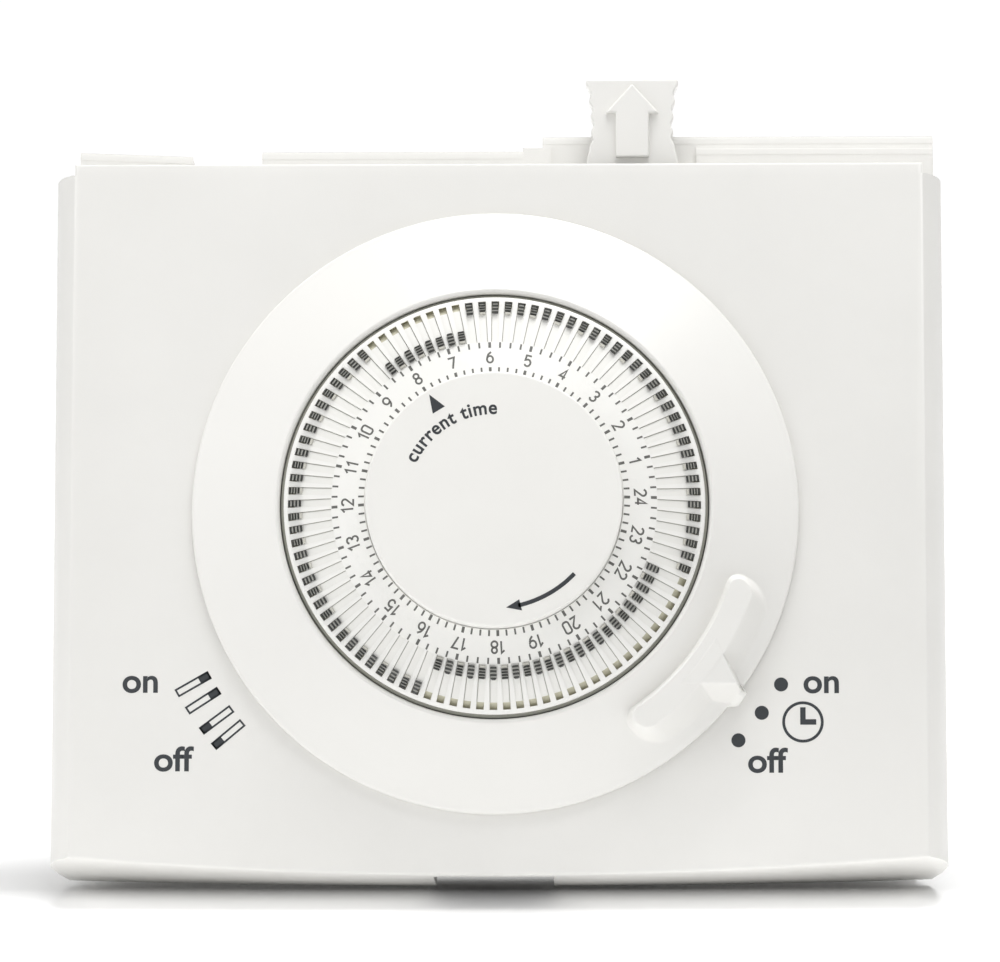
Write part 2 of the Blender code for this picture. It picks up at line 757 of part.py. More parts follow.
def marker_spot(across, along):
    """(x, z) of a spot that lies along the marker's direction and across it, from the dial's axis."""
    x, z = moved(AXIS, along, MARKER_ANGLE)
    return (x + across * math.sin(MARKER_ANGLE), z - across * math.cos(MARKER_ANGLE))


def face_marker(obj):
    """Turns a piece about its own origin, so that its +Z points along the marker's direction."""
    obj.rotation_euler = (0, math.radians(90) - MARKER_ANGLE, 0)
    bpy.context.view_layer.update()
    return obj


def switch_body(material):
    half = SWITCH_HALF_WIDTH
    ear_xs = (-half, 2.4 * MM - half)
    ear_depths = (-1.2 * MM, 2 * MM)
    ear_length = MM
    place = marker_spot(0, SWITCH_BASE)
    height = SWITCH_TOP - SWITCH_BASE
    depths = (1.2 * MM, CHASSIS_FRONT - GAP)
    body = box("switch_body", (-half, half), depths, (0, height), place, material)
    ears = [
        box(f"ear_{i}", ear_xs, ear_depths, (low, low + ear_length), place)
        for i, low in enumerate((0, height - ear_length))
    ]
    return face_marker(combine(body, ears, "UNION"))


def switch_lever(material):
    """The blade, hung between the switch's ears, with the nose that feels the tappets."""
    across, depth, along = LEVER_PIVOT
    half_length, half_thickness = 1.2 * MM, 0.4 * MM
    blade = box(
        "switch_lever",
        (-0.6 * MM, 5.5 * MM - across),
        (-half_thickness, half_thickness),
        (-half_length, half_length),
        (0, 0),
        material,
    )
    nose = box(
        "nose", (1.2 * MM - across, 2.4 * MM - across), (-5.4 * MM, 0), (-half_length, -0.1 * MM)
    )
    lever = combine(blade, [nose], "UNION")
    x, z = marker_spot(across, along)
    lever.location = (x, FACE_Y + depth, z)
    return face_marker(lever)


# ---------------------------------------------------------------- latch and connector


def latch_outline():
    """The tab's outline: a waved grip above the plate and a plain tongue below it."""
    waves = 4
    top, waist, base = LATCH_TOP, 101.4 * MM, 96.0 * MM
    right = [(LATCH_HALF_WIDTH, 82 * MM), (LATCH_HALF_WIDTH, base)]
    right.append((5.4 * MM, waist - MM))
    for i in range(waves):
        height = waist + (top - waist - MM) * i / waves
        right.append((5.35 * MM + 0.12 * MM * i, height))
        right.append((5.75 * MM + 0.12 * MM * i, height + 0.75 * MM))
    right.append((LATCH_HALF_WIDTH, top - 0.6 * MM))
    right.append((LATCH_HALF_WIDTH - 0.3 * MM, top))
    left = [(-x, z) for x, z in reversed(right)]
    return right + left


def arrow_outline():
    shaft, barb = 2.25 * MM, 3.6 * MM
    base, shoulder, tip = 97.0 * MM, 103.2 * MM, 107.1 * MM
    right = [(shaft, base), (shaft, shoulder), (barb, shoulder)]
    left = [(-x, z) for x, z in reversed(right)]
    return right + [(0, tip)] + left


def latch_slider(material):
    slider = prism("latch_slider", latch_outline(), 4.0 * MM, 7.0 * MM, (LATCH_X, 0), material)
    arrow = prism("arrow", arrow_outline(), 3.2 * MM, 5.0 * MM, (LATCH_X, 0))
    return combine(slider, [arrow], "UNION")


def contact_spots():
    return [CONNECTOR_X + (i - 1.5) * 5 * MM for i in range(4)]


def connector_body(material):
    """The socket, with a flange that stands behind the rear cover's window."""
    place = (CONNECTOR_X, CONNECTOR_Z)
    half, wall = CONNECTOR_HALF, 1.6 * MM
    body = box(
        "connector_body", (-half[0], half[0]), (19 * MM, 33 * MM), (-half[1], half[1]), place, material
    )
    step = 2 * MM
    flange = box(
        "flange",
        (-half[0] - step, half[0] + step),
        (22 * MM, REAR_BACK - WALL - GAP),
        (-half[1] - step, half[1] + step),
        place,
    )
    combine(body, [flange], "UNION")
    inside = (half[0] - wall, half[1] - wall)
    cutters = [
        box("socket", (-inside[0], inside[0]), (24.5 * MM, 36 * MM), (-inside[1], inside[1]), place)
    ]
    for i, x in enumerate(contact_spots()):
        spot = (x, CONNECTOR_Z)
        cutters.append(
            box(f"slot_{i}", (-1.1 * MM, 1.1 * MM), (18 * MM, 26 * MM), (-0.7 * MM, 0.7 * MM), spot)
        )
    return combine(body, cutters, "DIFFERENCE")


def contacts(material):
    for i, x in enumerate(contact_spots()):
        box(
            f"contact_{i + 1}",
            (-0.8 * MM, 0.8 * MM),
            (16.5 * MM, 28.3 * MM),
            (-0.4 * MM, 0.4 * MM),
            (x, CONNECTOR_Z),
            material,
        )


def main():
    clear_scene()
    white = plastic("white_plastic", (0.83, 0.83, 0.81), 0.5)
    ring_white = plastic("ring_plastic", (0.88, 0.88, 0.87), 0.3)
    dial_white = plastic("dial_plastic", (0.86, 0.86, 0.84), 0.35)
    disc_white = plastic("disc_plastic", (0.8, 0.8, 0.79), 0.4)
    black = plastic("tappet_plastic", (0.03, 0.03, 0.035), 0.4)
    grey = plastic("chassis_plastic", (0.5, 0.51, 0.52), 0.5)
    acetal = plastic("gear_plastic", (0.75, 0.73, 0.66), 0.4)
    dark = plastic("switch_plastic", (0.06, 0.06, 0.07), 0.45)
    steel = plastic("steel", (0.6, 0.6, 0.62), 0.35, 1.0)
    brass = plastic("brass", (0.75, 0.58, 0.28), 0.3, 1.0)

    front_cover(white)
    rear_cover(white)
    screws(steel)
    mode_ring(ring_white)
    mode_slide(acetal)
    dial_ring(dial_white)
    tappets(black)
    centre_disc(disc_white)
    centre_post(steel)
    post_clip(steel)
    dial_gear(acetal)
    idler_gear(acetal)
    motor_pinion(brass)
    motor_body(steel)
    chassis_plate(grey)
    switch_body(dark)
    switch_lever(steel)
    latch_slider(white)
    connector_body(dark)
    contacts(brass)


main()
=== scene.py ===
"""Looks of the plug-in heating timer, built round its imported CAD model."""

import json
import math

import bmesh
import bpy
from mathutils import Matrix, Vector


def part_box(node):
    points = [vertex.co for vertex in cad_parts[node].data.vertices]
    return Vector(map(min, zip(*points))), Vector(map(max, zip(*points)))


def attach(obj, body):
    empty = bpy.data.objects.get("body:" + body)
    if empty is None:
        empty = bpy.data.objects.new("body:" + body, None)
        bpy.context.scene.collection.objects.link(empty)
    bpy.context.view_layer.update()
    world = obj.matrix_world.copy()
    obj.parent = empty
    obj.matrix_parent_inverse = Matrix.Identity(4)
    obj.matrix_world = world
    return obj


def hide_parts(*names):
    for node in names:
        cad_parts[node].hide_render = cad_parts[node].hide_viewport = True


MM = 0.001

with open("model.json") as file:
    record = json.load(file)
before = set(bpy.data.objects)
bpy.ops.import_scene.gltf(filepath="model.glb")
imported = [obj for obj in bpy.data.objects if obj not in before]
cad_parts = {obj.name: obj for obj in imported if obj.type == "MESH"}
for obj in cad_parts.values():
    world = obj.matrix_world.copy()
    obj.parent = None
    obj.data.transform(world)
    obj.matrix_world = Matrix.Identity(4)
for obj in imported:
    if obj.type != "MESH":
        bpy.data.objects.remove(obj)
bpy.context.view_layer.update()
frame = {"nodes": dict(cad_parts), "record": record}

# ---------------------------------------------------------------- camera

CAMERA_DISTANCE = 0.8
CAMERA_AZIMUTH = math.radians(0.82)
CAMERA_ELEVATION = math.radians(-8.7)
SENSOR_WIDTH = 36  # in mm, as Blender has it
FACE_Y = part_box("front_cover")[0].y  # the front plate's face
CAMERA_TARGET = Vector((0.24 * MM, FACE_Y, 52.52 * MM))
VIEW_WIDTH = 0.13296  # how much of the plate's plane the picture spans


def make_camera():
    data = bpy.data.cameras.new("camera")
    camera = bpy.data.objects.new("camera", data)
    bpy.context.scene.collection.objects.link(camera)
    flat = math.cos(CAMERA_ELEVATION)
    back = Vector((
        math.sin(CAMERA_AZIMUTH) * flat,
        -math.cos(CAMERA_AZIMUTH) * flat,
        math.sin(CAMERA_ELEVATION),
    ))
    camera.location = CAMERA_TARGET + back * CAMERA_DISTANCE
    camera.rotation_mode = "QUATERNION"
    camera.rotation_quaternion = (-back).to_track_quat("-Z", "Y")
    data.sensor_width = SENSOR_WIDTH
    data.lens = SENSOR_WIDTH * CAMERA_DISTANCE / VIEW_WIDTH
    data.clip_start = 0.01
    bpy.context.scene.camera = camera


make_camera()

# ---------------------------------------------------------------- places, from the frame and the CAD sizes

ring_low, ring_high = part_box("dial_ring")
AXIS_X = (ring_low.x + ring_high.x) / 2
AXIS_Z = (ring_low.z + ring_high.z) / 2
DIAL_RADIUS = (ring_high.x - ring_low.x) / 2
DIAL_RISE = 6.9 * MM  # how far the dial's outer edge stands in front of the plate
DIAL_SLOPE = 0.32  # how fast the cone rises towards its middle
DIAL_BORE = 16.95 * MM
SLOT_INNER = 21.45 * MM
SLOT_OUTER = 27.2 * MM
SLOT_WIDTH = 1.0 * MM
SLOTS = 96
HOUR_24 = math.radians(1.62)  # where the scale stands at rest
RING_RADIUS = 40.3 * MM
GRIP_ANGLE = math.radians(-37.1)
DISC_RISE = FACE_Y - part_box("centre_disc")[0].y
FACE_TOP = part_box("front_cover")[1].z
LATCH_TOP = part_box("latch_slider")[1].z


def dial_depth(radius):
    """Depth of the dial's sloping face."""
    return -DIAL_RISE - DIAL_SLOPE * (DIAL_RADIUS - radius)


def hour_angle(hour):
    return HOUR_24 + 2 * math.pi * hour / 24


# ---------------------------------------------------------------- materials


def node(tree, kind, **inputs):
    made = tree.nodes.new(kind)
    for name, value in inputs.items():
        made.inputs[name.replace("_", " ")].default_value = value
    return made


def noise(tree, coords, scale, detail):
    made = node(tree, "ShaderNodeTexNoise", Scale=scale, Detail=detail, Roughness=0.5)
    tree.links.new(coords, made.inputs["Vector"])
    return made.outputs["Fac"]


def remap(tree, value, low, high, from_low=0.3, from_high=0.7):
    """A value spread over another range; most noise lies between 0.3 and 0.7."""
    made = node(tree, "ShaderNodeMapRange")
    made.inputs["From Min"].default_value = from_low
    made.inputs["From Max"].default_value = from_high
    made.inputs["To Min"].default_value = low
    made.inputs["To Max"].default_value = high
    tree.links.new(value, made.inputs["Value"])
    return made.outputs["Result"]


def mixed(tree, factor, first, second):
    """Two colours mixed by a factor."""
    made = tree.nodes.new("ShaderNodeMix")
    made.data_type = "RGBA"
    tree.links.new(factor, made.inputs["Factor"])
    for socket, colour in (("A", first), ("B", second)):
        chosen = [s for s in made.inputs if s.name == socket and s.type == "RGBA"][0]
        chosen.default_value = (*colour, 1)
    return [s for s in made.outputs if s.type == "RGBA"][0]


PATCH_SCALE = 45


def finish_of(name, first, second, roughness, grain, height, spread=0.06, metallic=0.0, **sockets):
    """A moulded or plated surface: two close colours in patches, varied gloss and a fine grain."""
    made = bpy.data.materials.new(name)
    made.use_nodes = True
    tree = made.node_tree
    shader = tree.nodes["Principled BSDF"]
    coords = tree.nodes.new("ShaderNodeTexCoord").outputs["Object"]
    colour = mixed(tree, remap(tree, noise(tree, coords, PATCH_SCALE, 4), 0, 1), first, second)
    tree.links.new(colour, shader.inputs["Base Color"])
    gloss = remap(tree, noise(tree, coords, grain / 3, 2), roughness - spread, roughness + spread)
    tree.links.new(gloss, shader.inputs["Roughness"])
    bump = node(tree, "ShaderNodeBump", Strength=0.6, Distance=height)
    tree.links.new(noise(tree, coords, grain, 2), bump.inputs["Height"])
    tree.links.new(bump.outputs["Normal"], shader.inputs["Normal"])
    shader.inputs["Metallic"].default_value = metallic
    for socket, value in sockets.items():
        shader.inputs[socket.replace("_", " ")].default_value = value
    return made


# short name: (name, two colours, roughness, scale of the grain, its height in mm, spread of the roughness)
FINISHES = {
    "case": ("moulded_white", (0.762, 0.754, 0.727), (0.786, 0.778, 0.751), 0.46, 5200, 0.012),
    # painted light: a lighter copy of the case's white for the rear cover and the rail caps, which sit in the
    # plate's shade
    "back": ("back_white_painted_lighter", (0.83, 0.822, 0.795), (0.86, 0.852, 0.825), 0.46, 5200, 0.012),
    "ring": ("ring_white", (0.796, 0.788, 0.760), (0.806, 0.798, 0.770), 0.3, 1500, 0.0006, 0.015),
    "dial": ("dial_white", (0.83, 0.825, 0.795), (0.85, 0.845, 0.815), 0.36, 2500, 0.002, 0.03),
    "floor": ("slot_floor", (0.80, 0.795, 0.76), (0.83, 0.825, 0.79), 0.45, 2500, 0.003),
    # partly painted shade: the darker tan of the slot's deep outer end stands for shade in the recess, with
    # the yellowish tint of the part below
    "pit": ("slot_pit_tan_painted_shade", (0.56, 0.54, 0.42), (0.64, 0.62, 0.49), 0.5, 2500, 0.003),
    # painted shade: the mid grey of the slots' side groove and walls stands for shade in these narrow
    # recesses of the white dial
    "groove": ("slot_side_painted_shade", (0.52, 0.515, 0.47), (0.60, 0.595, 0.55), 0.5, 2500, 0.003),
    # painted shade with an olive tint: the dark olive of the dial's rim wall and flange stands for shade in
    # the gap round the dial
    "rim": ("dial_rim_painted_shade", (0.30, 0.30, 0.26), (0.36, 0.36, 0.31), 0.4, 2500, 0.003),
    "disc": ("disc_white", (0.81, 0.802, 0.771), (0.83, 0.822, 0.791), 0.42, 4200, 0.003, 0.03),
    "tip": ("tappet_black", (0.018, 0.019, 0.017), (0.04, 0.041, 0.037), 0.34, 4000, 0.004),
    "line": ("tappet_line", (0.42, 0.42, 0.385), (0.50, 0.50, 0.46), 0.4, 4000, 0.003),
    "heel": ("tappet_heel", (0.50, 0.49, 0.44), (0.60, 0.59, 0.53), 0.4, 4000, 0.003),
    "ink": ("print_grey", (0.030, 0.034, 0.038), (0.040, 0.045, 0.050), 0.5, 6000, 0.002),
    "scale_ink": ("scale_grey", (0.11, 0.11, 0.102), (0.13, 0.13, 0.12), 0.5, 6000, 0.002),
    "grey": ("chassis_grey", (0.20, 0.20, 0.20), (0.24, 0.24, 0.24), 0.5, 3000, 0.01),
    "acetal": ("gear_acetal", (0.66, 0.63, 0.54), (0.72, 0.69, 0.60), 0.36, 2500, 0.004),
    "dark": ("dark_plastic", (0.03, 0.03, 0.034), (0.045, 0.045, 0.05), 0.42, 3500, 0.01),
    # painted shade: the black of the sheet behind the underside's notch, where the inside is only dark
    "shade": ("notch_shade_black", (0.006, 0.006, 0.006), (0.010, 0.010, 0.009), 0.8, 3000, 0.01),
    "steel": ("zinc_plate", (0.55, 0.56, 0.58), (0.66, 0.66, 0.67), 0.3, 4000, 0.003),
    "brass": ("brass", (0.72, 0.55, 0.26), (0.80, 0.63, 0.32), 0.28, 4000, 0.003),
}
METALS = ("steel", "brass")


def make_finishes():
    made = {}
    for key, (name, first, second, roughness, grain, height, *spread) in FINISHES.items():
        metallic = 1.0 if key in METALS else 0.0
        made[key] = finish_of(name, first, second, roughness, grain, height * MM, *spread, metallic=metallic)
    return made


FINISH = make_finishes()

# ---------------------------------------------------------------- mesh building


def place(x, depth, z):
    """A point in the row frame, from x and z about the dial's axis and the depth behind the plate."""
    return (AXIS_X + x, FACE_Y + depth, AXIS_Z + z)


def new_object(name, points, faces):
    """An object of one closed mesh, its faces turned outwards."""
    mesh = bpy.data.meshes.new(name)
    mesh.from_pydata(points, [], faces)
    shape = bmesh.new()
    shape.from_mesh(mesh)
    bmesh.ops.recalc_face_normals(shape, faces=shape.faces)
    shape.to_mesh(mesh)
    shape.free()
    made = bpy.data.objects.new(name, mesh)
    bpy.context.scene.collection.objects.link(made)
    return made


def piece(name, points, faces, materials, body, replaced=(), slot=None, smooth_angle=30, indices=None):
    """A visible piece that rides on a body and stands for CAD nodes; indices give each face's material."""
    made = new_object(name, points, faces)
    for material in materials:
        made.data.materials.append(FINISH[material])
    if indices:
        made.data.polygons.foreach_set("material_index", indices)
    made.data.shade_smooth()
    made.data.set_sharp_from_angle(angle=math.radians(smooth_angle))
    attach(made, body)
    if replaced:
        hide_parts(*replaced)
    return made


def loft(sections, closed=False):
    """Points and faces of a solid through sections with equal numbers of points."""
    count = len(sections[0])
    points = [p for section in sections for p in section]
    faces = []
    if not closed:
        faces.append(list(range(count)))
        faces.append(list(range(len(points) - count, len(points))))
    laps = len(sections) if closed else len(sections) - 1
    for s in range(laps):
        low, high = s * count, ((s + 1) % len(sections)) * count
        for i in range(count):
            j = (i + 1) % count
            faces.append([low + i, low + j, high + j, high + i])
    return points, faces


def merged(parts):
    """Several (points, faces) joined into one list each."""
    points, faces = [], []
    for more_points, more_faces in parts:
        start = len(points)
        points += more_points
        faces += [[start + i for i in face] for face in more_faces]
    return points, faces


def turned(profile, steps):
    """A closed (radius, depth) profile turned about the dial's axis; a radius of 0 is a pole."""
    points, rings, faces = [], [], []
    for radius, depth in profile:
        count = steps if radius > 0 else 1
        rings.append([len(points) + k % count for k in range(steps + 1)])
        for k in range(count):
            angle = 2 * math.pi * k / steps
            points.append(place(radius * math.cos(angle), depth, radius * math.sin(angle)))
    for i, ring in enumerate(rings):
        after = rings[(i + 1) % len(rings)]
        for k in range(steps):
            corners = list(dict.fromkeys([ring[k], ring[k + 1], after[k + 1], after[k]]))
            if len(corners) > 2:
                faces.append(corners)
    return points, faces


def block(xs, depths, zs):
    """A box as (points, faces), with x and z in the row frame."""
    outline = [(xs[0], zs[0]), (xs[1], zs[0]), (xs[1], zs[1]), (xs[0], zs[1])]
    return loft([[(x, FACE_Y + depth, z) for x, z in outline] for depth in depths])


def cut(obj, shapes):
    """Takes closed (points, faces) shapes away from an object."""
    cutters = [new_object("cutter", *shape) for shape in shapes]
    for cutter in cutters:
        modifier = obj.modifiers.new("cut", "BOOLEAN")
        modifier.operation = "DIFFERENCE"
        modifier.object = cutter
    bpy.context.view_layer.update()
    graph = bpy.context.evaluated_depsgraph_get()
    obj.data = bpy.data.meshes.new_from_object(obj.evaluated_get(graph))
    obj.modifiers.clear()
    for cutter in cutters:
        bpy.data.objects.remove(cutter)
    obj.data.shade_smooth()
    obj.data.set_sharp_from_angle(angle=math.radians(30))


def soften(obj, width, segments=3, angle=35):
    """Rounds an object's edges."""
    modifier = obj.modifiers.new("edges", "BEVEL")
    modifier.width = width
    modifier.segments = segments
    modifier.limit_method = "ANGLE"
    modifier.angle_limit = math.radians(angle)
    modifier.harden_normals = True


# ---------------------------------------------------------------- case

SKIRT_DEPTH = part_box("front_cover")[1].y - FACE_Y
FLANK_TOP = 94.2 * MM
LIP_HALF = 56.8 * MM  # the plate's lip above the flanks
LIP_BACK = 5.9 * MM
BOW = 2.4 * MM  # how much higher the plate's bottom corners are than its middle
REAR_BOW = 0.9 * MM
REAR_LIFT = 0.3 * MM
WALL = 2.0 * MM
NOTCH = (-8.6 * MM, 7.3 * MM)
RING_WELL = 34 * MM  # radius of the hole in the plate that the ring sits in
RING_WELL_DEPTHS = (-3 * MM, 3.5 * MM)
LATCH_GAP = 0.3 * MM
LATCH_SLOT_DEPTHS = (2.4 * MM, 8 * MM)
LATCH_SLOT_HEIGHTS = (88 * MM, 98 * MM)
TOP_OPENING_HALF = 57.6 * MM
TOP_OPENING_HEIGHTS = (89.3 * MM, 97 * MM)
# where the black sheet of painted shade behind the notch stands
NOTCH_SHADE_DEPTHS = (1.2 * MM, 0.6 * MM)  # in front of the skirt's rear edge
NOTCH_SHADE_HEIGHTS = (2.1 * MM, 7.5 * MM)
SKIRT_MM = SKIRT_DEPTH / MM
# the cover's outside as (depth, half width, how far the edge is rounded off), and its inside, in mm
COVER_OUTSIDE = [
    (0.0, 56.4, 0.38), (0.05, 56.68, 0.2), (0.18, 56.9, 0.06), (0.4, 57.1, 0.0), (1.0, 57.65, 0.0),
    (1.8, 58.3, 0.0), (3.0, 58.85, 0.0), (4.5, 59.3, 0.0), (5.85, 59.55, 0.0), (5.95, 59.56, 0.0),
    (8.0, 59.7, 0.0), (14.0, 59.2, 0.0), (SKIRT_MM - 0.2, 58.2, 0.0), (SKIRT_MM, 58.1, 0.12),
]
COVER_INSIDE = [(SKIRT_MM, 58.1), (8.0, 59.7), (5.0, 59.4), (2.0, 58.6)]


def cover_section(depth, half, edge, inset=0.0):
    """The cover's outline at a depth: bowed underside, flanks, and the plate's lip above them."""
    steps = 72
    share = depth / SKIRT_DEPTH
    rise = BOW + (REAR_BOW - BOW) * share
    lift = REAR_LIFT * max(0.0, share - 0.5) * 2
    reach = half - inset
    points = []
    for i in range(steps + 1):
        x = reach * (2 * i / steps - 1)
        points.append((x, rise * (x / half) ** 2 + lift + edge + inset))
    lip = min(LIP_HALF, reach - 0.1 * MM) - edge / 2
    lip_top = FACE_TOP - edge - inset
    if depth > LIP_BACK and not inset:
        lip_top = FLANK_TOP + 0.02 * MM
    side_top = FLANK_TOP - edge - inset
    points += [(reach, side_top), (lip, side_top), (lip, lip_top)]
    points += [(-lip, lip_top), (-lip, side_top), (-reach, side_top)]
    return [(x, FACE_Y + depth, z) for x, z in points]


def make_cover():
    sections = [cover_section(d * MM, half * MM, edge * MM) for d, half, edge in COVER_OUTSIDE]
    sections += [cover_section(d * MM, half * MM, 0, WALL) for d, half in COVER_INSIDE]
    cover = piece("front_shell", *loft(sections), ["case"], "case", ["front_cover"], "case_white", 28)
    slot_low, slot_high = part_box("latch_slider")
    behind = SKIRT_DEPTH + 2 * MM
    front, back = RING_WELL_DEPTHS
    ring_hole = turned([(0, front), (RING_WELL, front), (RING_WELL, back), (0, back)], 144)
    slot_xs = (slot_low.x - LATCH_GAP, slot_high.x + LATCH_GAP)
    latch_slot = block(slot_xs, LATCH_SLOT_DEPTHS, LATCH_SLOT_HEIGHTS)
    notch = block(NOTCH, (2.5 * MM, behind), (-2 * MM, 4 * MM))
    top_xs = (-TOP_OPENING_HALF, TOP_OPENING_HALF)
    open_top = block(top_xs, (6.1 * MM, behind), TOP_OPENING_HEIGHTS)
    cut(cover, [ring_hole, latch_slot, notch, open_top])


def make_gasket():
    """A black sheet of painted shade at the back of the case: it stands for the dark inside that shows
    through the notch in the underside.
    """
    xs = (NOTCH[0] - 2 * MM, NOTCH[1] + 2 * MM)
    shape = block(xs, [SKIRT_DEPTH - ahead for ahead in NOTCH_SHADE_DEPTHS], NOTCH_SHADE_HEIGHTS)
    piece("notch_painted_shade", *shape, ["shade"], "case")


# ---------------------------------------------------------------- mode ring

RING_EDGE_DEPTH = -1.0 * MM
RING_EDGE = 0.7 * MM  # radius of the ring's rounded edge
RING_EDGE_START = math.radians(24)  # its angle where it leaves the sloping face
RING_LIP = 28.9 * MM  # where the sloping face ends, beside the dial
RING_LIP_DEPTH = -6.75 * MM
RING_PLAIN = 38.0 * MM  # beyond this radius the face stretches with the nib's foot
# the ring's back and bore as (radius, depth) in mm, from the outer edge round to the lip
RING_BACK = [
    (40.3, -0.08), (39.0, -0.06), (39.0, -0.7), (33.7, -3.1), (33.7, 3.6), (31.9, 3.6), (31.9, -3.9),
    (29.7, -4.9), (29.7, 1.0), (28.3, 1.0), (28.3, -6.25), (28.38, -6.5), (28.6, -6.68),
]
RING_ROWS = 120
FINE_STEP = math.radians(0.2)
COARSE_STEP = math.radians(0.8)
GRIP_SPAN = math.radians(24)  # the ring is fine this far to each side of the grip

GRIP_MIDDLE = 34.9 * MM
GRIP_SPINE = 10.2 * MM  # half the length of the line that the grip's round ends turn about
GRIP_HALF_WIDTH = 2.8 * MM
GRIP_FALL = 2.6  # how steep its ends are
GRIP_LEVEL = -6.75 * MM  # depth of its flat top at its inner side
GRIP_INNER = 32.7 * MM
GRIP_OUTER = 35.9 * MM
NIB_INNER = 34.0 * MM
NIB_TIP = 41.3 * MM
NIB_STEEP_SIDE = ((35.9 * MM, 2.5 * MM), (-2.15, -4.5))  # a (radius, along) on it and the way inwards
NIB_LONG_SIDE = ((36.3 * MM, -2.1 * MM), (-2.45, 4.1))
NIB_FOOT = (-2.5 * MM, 0.95 * MM)  # along the ring's edge
NIB_BULGE = 1.05 * MM
UNION_WIDTH = 0.25 * MM  # how softly the nib runs into the grip


def ring_depth(radius):
    """Depth of the ring's sloping face."""
    share = (RING_RADIUS - radius) / (RING_RADIUS - RING_LIP)
    return RING_EDGE_DEPTH + share * (RING_LIP_DEPTH - RING_EDGE_DEPTH)


def ease(value):
    value = min(1.0, max(0.0, value))
    return value * value * (3 - 2 * value)


def soft_min(a, b, width):
    """The smaller of two values, blended where they are within a width of each other."""
    share = min(1.0, max(0.0, 0.5 + (b - a) / (2 * width)))
    return b + (a - b) * share - width * share * (1 - share)


def grip_crest(radius):
    """Depth of the flat top that the grip and the nib share, which is steeper along the nib."""
    inner = min(radius, GRIP_OUTER) - GRIP_INNER
    outer = max(radius - GRIP_OUTER, 0.0)
    return GRIP_LEVEL + 0.125 * inner + 0.233 * outer


def crescent_height(radius, along, crest):
    """Height of the grip: steep inside, rounder at its ends, and a long fall outwards."""
    beyond = max(0.0, abs(along) - GRIP_SPINE)
    across = radius - GRIP_MIDDLE
    reach = math.hypot(beyond, across)
    lean = across / reach if reach > 0 else 0.0
    if lean > 0:
        edge, fall = GRIP_HALF_WIDTH + 0.65 * MM * lean, GRIP_FALL - 1.3 * lean
    else:
        edge, fall = GRIP_HALF_WIDTH + 0.1 * MM * lean, GRIP_FALL - 1.4 * lean
    side = -soft_min((reach - edge) * fall, 0.0, 0.3 * MM)
    return soft_min(crest, side, 0.32 * MM)


def inside_of(side, radius, along):
    """How far a place on the ring lies inside one straight side of the nib."""
    corner, inwards = side
    across = (radius - corner[0]) * inwards[0] + (along - corner[1]) * inwards[1]
    return across / math.hypot(*inwards)


def nib_height(radius, along, crest):
    """Height of the pointer: a flat triangle with one steep side and one long side."""
    if radius < NIB_INNER:
        return 0.0
    steep = (inside_of(NIB_STEEP_SIDE, radius, along) + 0.35 * MM) * 7
    gentle = (inside_of(NIB_LONG_SIDE, radius, along) + 1.85 * MM) * 1.85
    height = soft_min(crest, steep, 0.3 * MM)
    height = soft_min(height, gentle, 0.35 * MM)
    height = soft_min(height, (NIB_TIP - radius) * 3, 0.35 * MM)
    return max(0.0, height)


def grip_height(radius, off):
    """How far the grip and its nib stand in front of the ring's slope, at an angle off the grip's middle."""
    along = radius * off
    if abs(along) > GRIP_SPINE + 4 * MM:
        return 0.0
    crest = ring_depth(radius) - grip_crest(radius)
    crescent = crescent_height(radius, along, crest)
    union = -soft_min(-crescent, -nib_height(radius, along, crest), UNION_WIDTH)
    return max(0.0, union - UNION_WIDTH / 4)


def ring_reach(off):
    """Radius of the ring's edge; the nib's foot runs a little past it."""
    along = RING_RADIUS * off
    bulge = min(ease((along - NIB_FOOT[0]) / (1.3 * MM)), ease((NIB_FOOT[1] - along) / (0.5 * MM)))
    return RING_RADIUS + NIB_BULGE * bulge


def ring_profile(off):
    """The ring's closed (radius, depth) section, at an angle off the grip's middle."""
    last = RING_RADIUS - RING_EDGE
    reach = ring_reach(off)
    stretch = (reach - RING_EDGE - RING_PLAIN) / (last - RING_PLAIN)
    profile = []
    for i in range(RING_ROWS + 1):
        radius = RING_LIP + (last - RING_LIP) * i / RING_ROWS
        if radius >= RING_PLAIN:
            radius = RING_PLAIN + (radius - RING_PLAIN) * stretch
        profile.append((radius, ring_depth(min(radius, RING_RADIUS)) - grip_height(radius, off)))
    edge = profile[-1][1]
    for i in range(1, 6):
        turn = RING_EDGE_START + (math.pi / 2 - RING_EDGE_START) * i / 5
        profile.append((
            reach - RING_EDGE * (1 - math.sin(turn)),
            edge + RING_EDGE * (1 - math.cos(turn)) * 0.9,
        ))
    return profile + [(radius * MM, depth * MM) for radius, depth in RING_BACK]


def make_mode_ring():
    sections = []
    off = -GRIP_SPAN
    while off < 2 * math.pi - GRIP_SPAN:
        cosine, sine = math.cos(GRIP_ANGLE + off), math.sin(GRIP_ANGLE + off)
        sections.append([place(r * cosine, d, r * sine) for r, d in ring_profile(off)])
        off += FINE_STEP if off < GRIP_SPAN else COARSE_STEP
    points, faces = loft(sections, closed=True)
    piece("selector_ring", points, faces, ["ring"], "mode", ["mode_ring"], "ring_white", 60)


# ---------------------------------------------------------------- dial


def beside(radius, angle, offset):
    """The (x, z) of a point at a radius on the dial, moved sideways by an offset."""
    return (
        radius * math.cos(angle) - offset * math.sin(angle),
        radius * math.sin(angle) + offset * math.cos(angle),
    )


BAND_OUTER = 19.2 * MM  # where the dial's plain inner band meets the lands
FLOOR_DEPTH = 0.1 * MM  # the slot's floor, behind the dial's face
GROOVE_DEPTH = 0.22 * MM
GROOVE_WIDTH = 0.1 * MM
PIT_DEPTHS = (0.25 * MM, 0.8 * MM)  # at its inner and outer ends
PIT_INNER = 26.25 * MM
RIM_BACK = -3.6 * MM
RIM_RADIUS = 27.8 * MM
FLANGE_RADIUS = 28.15 * MM
BACK_INNER = 19.5 * MM


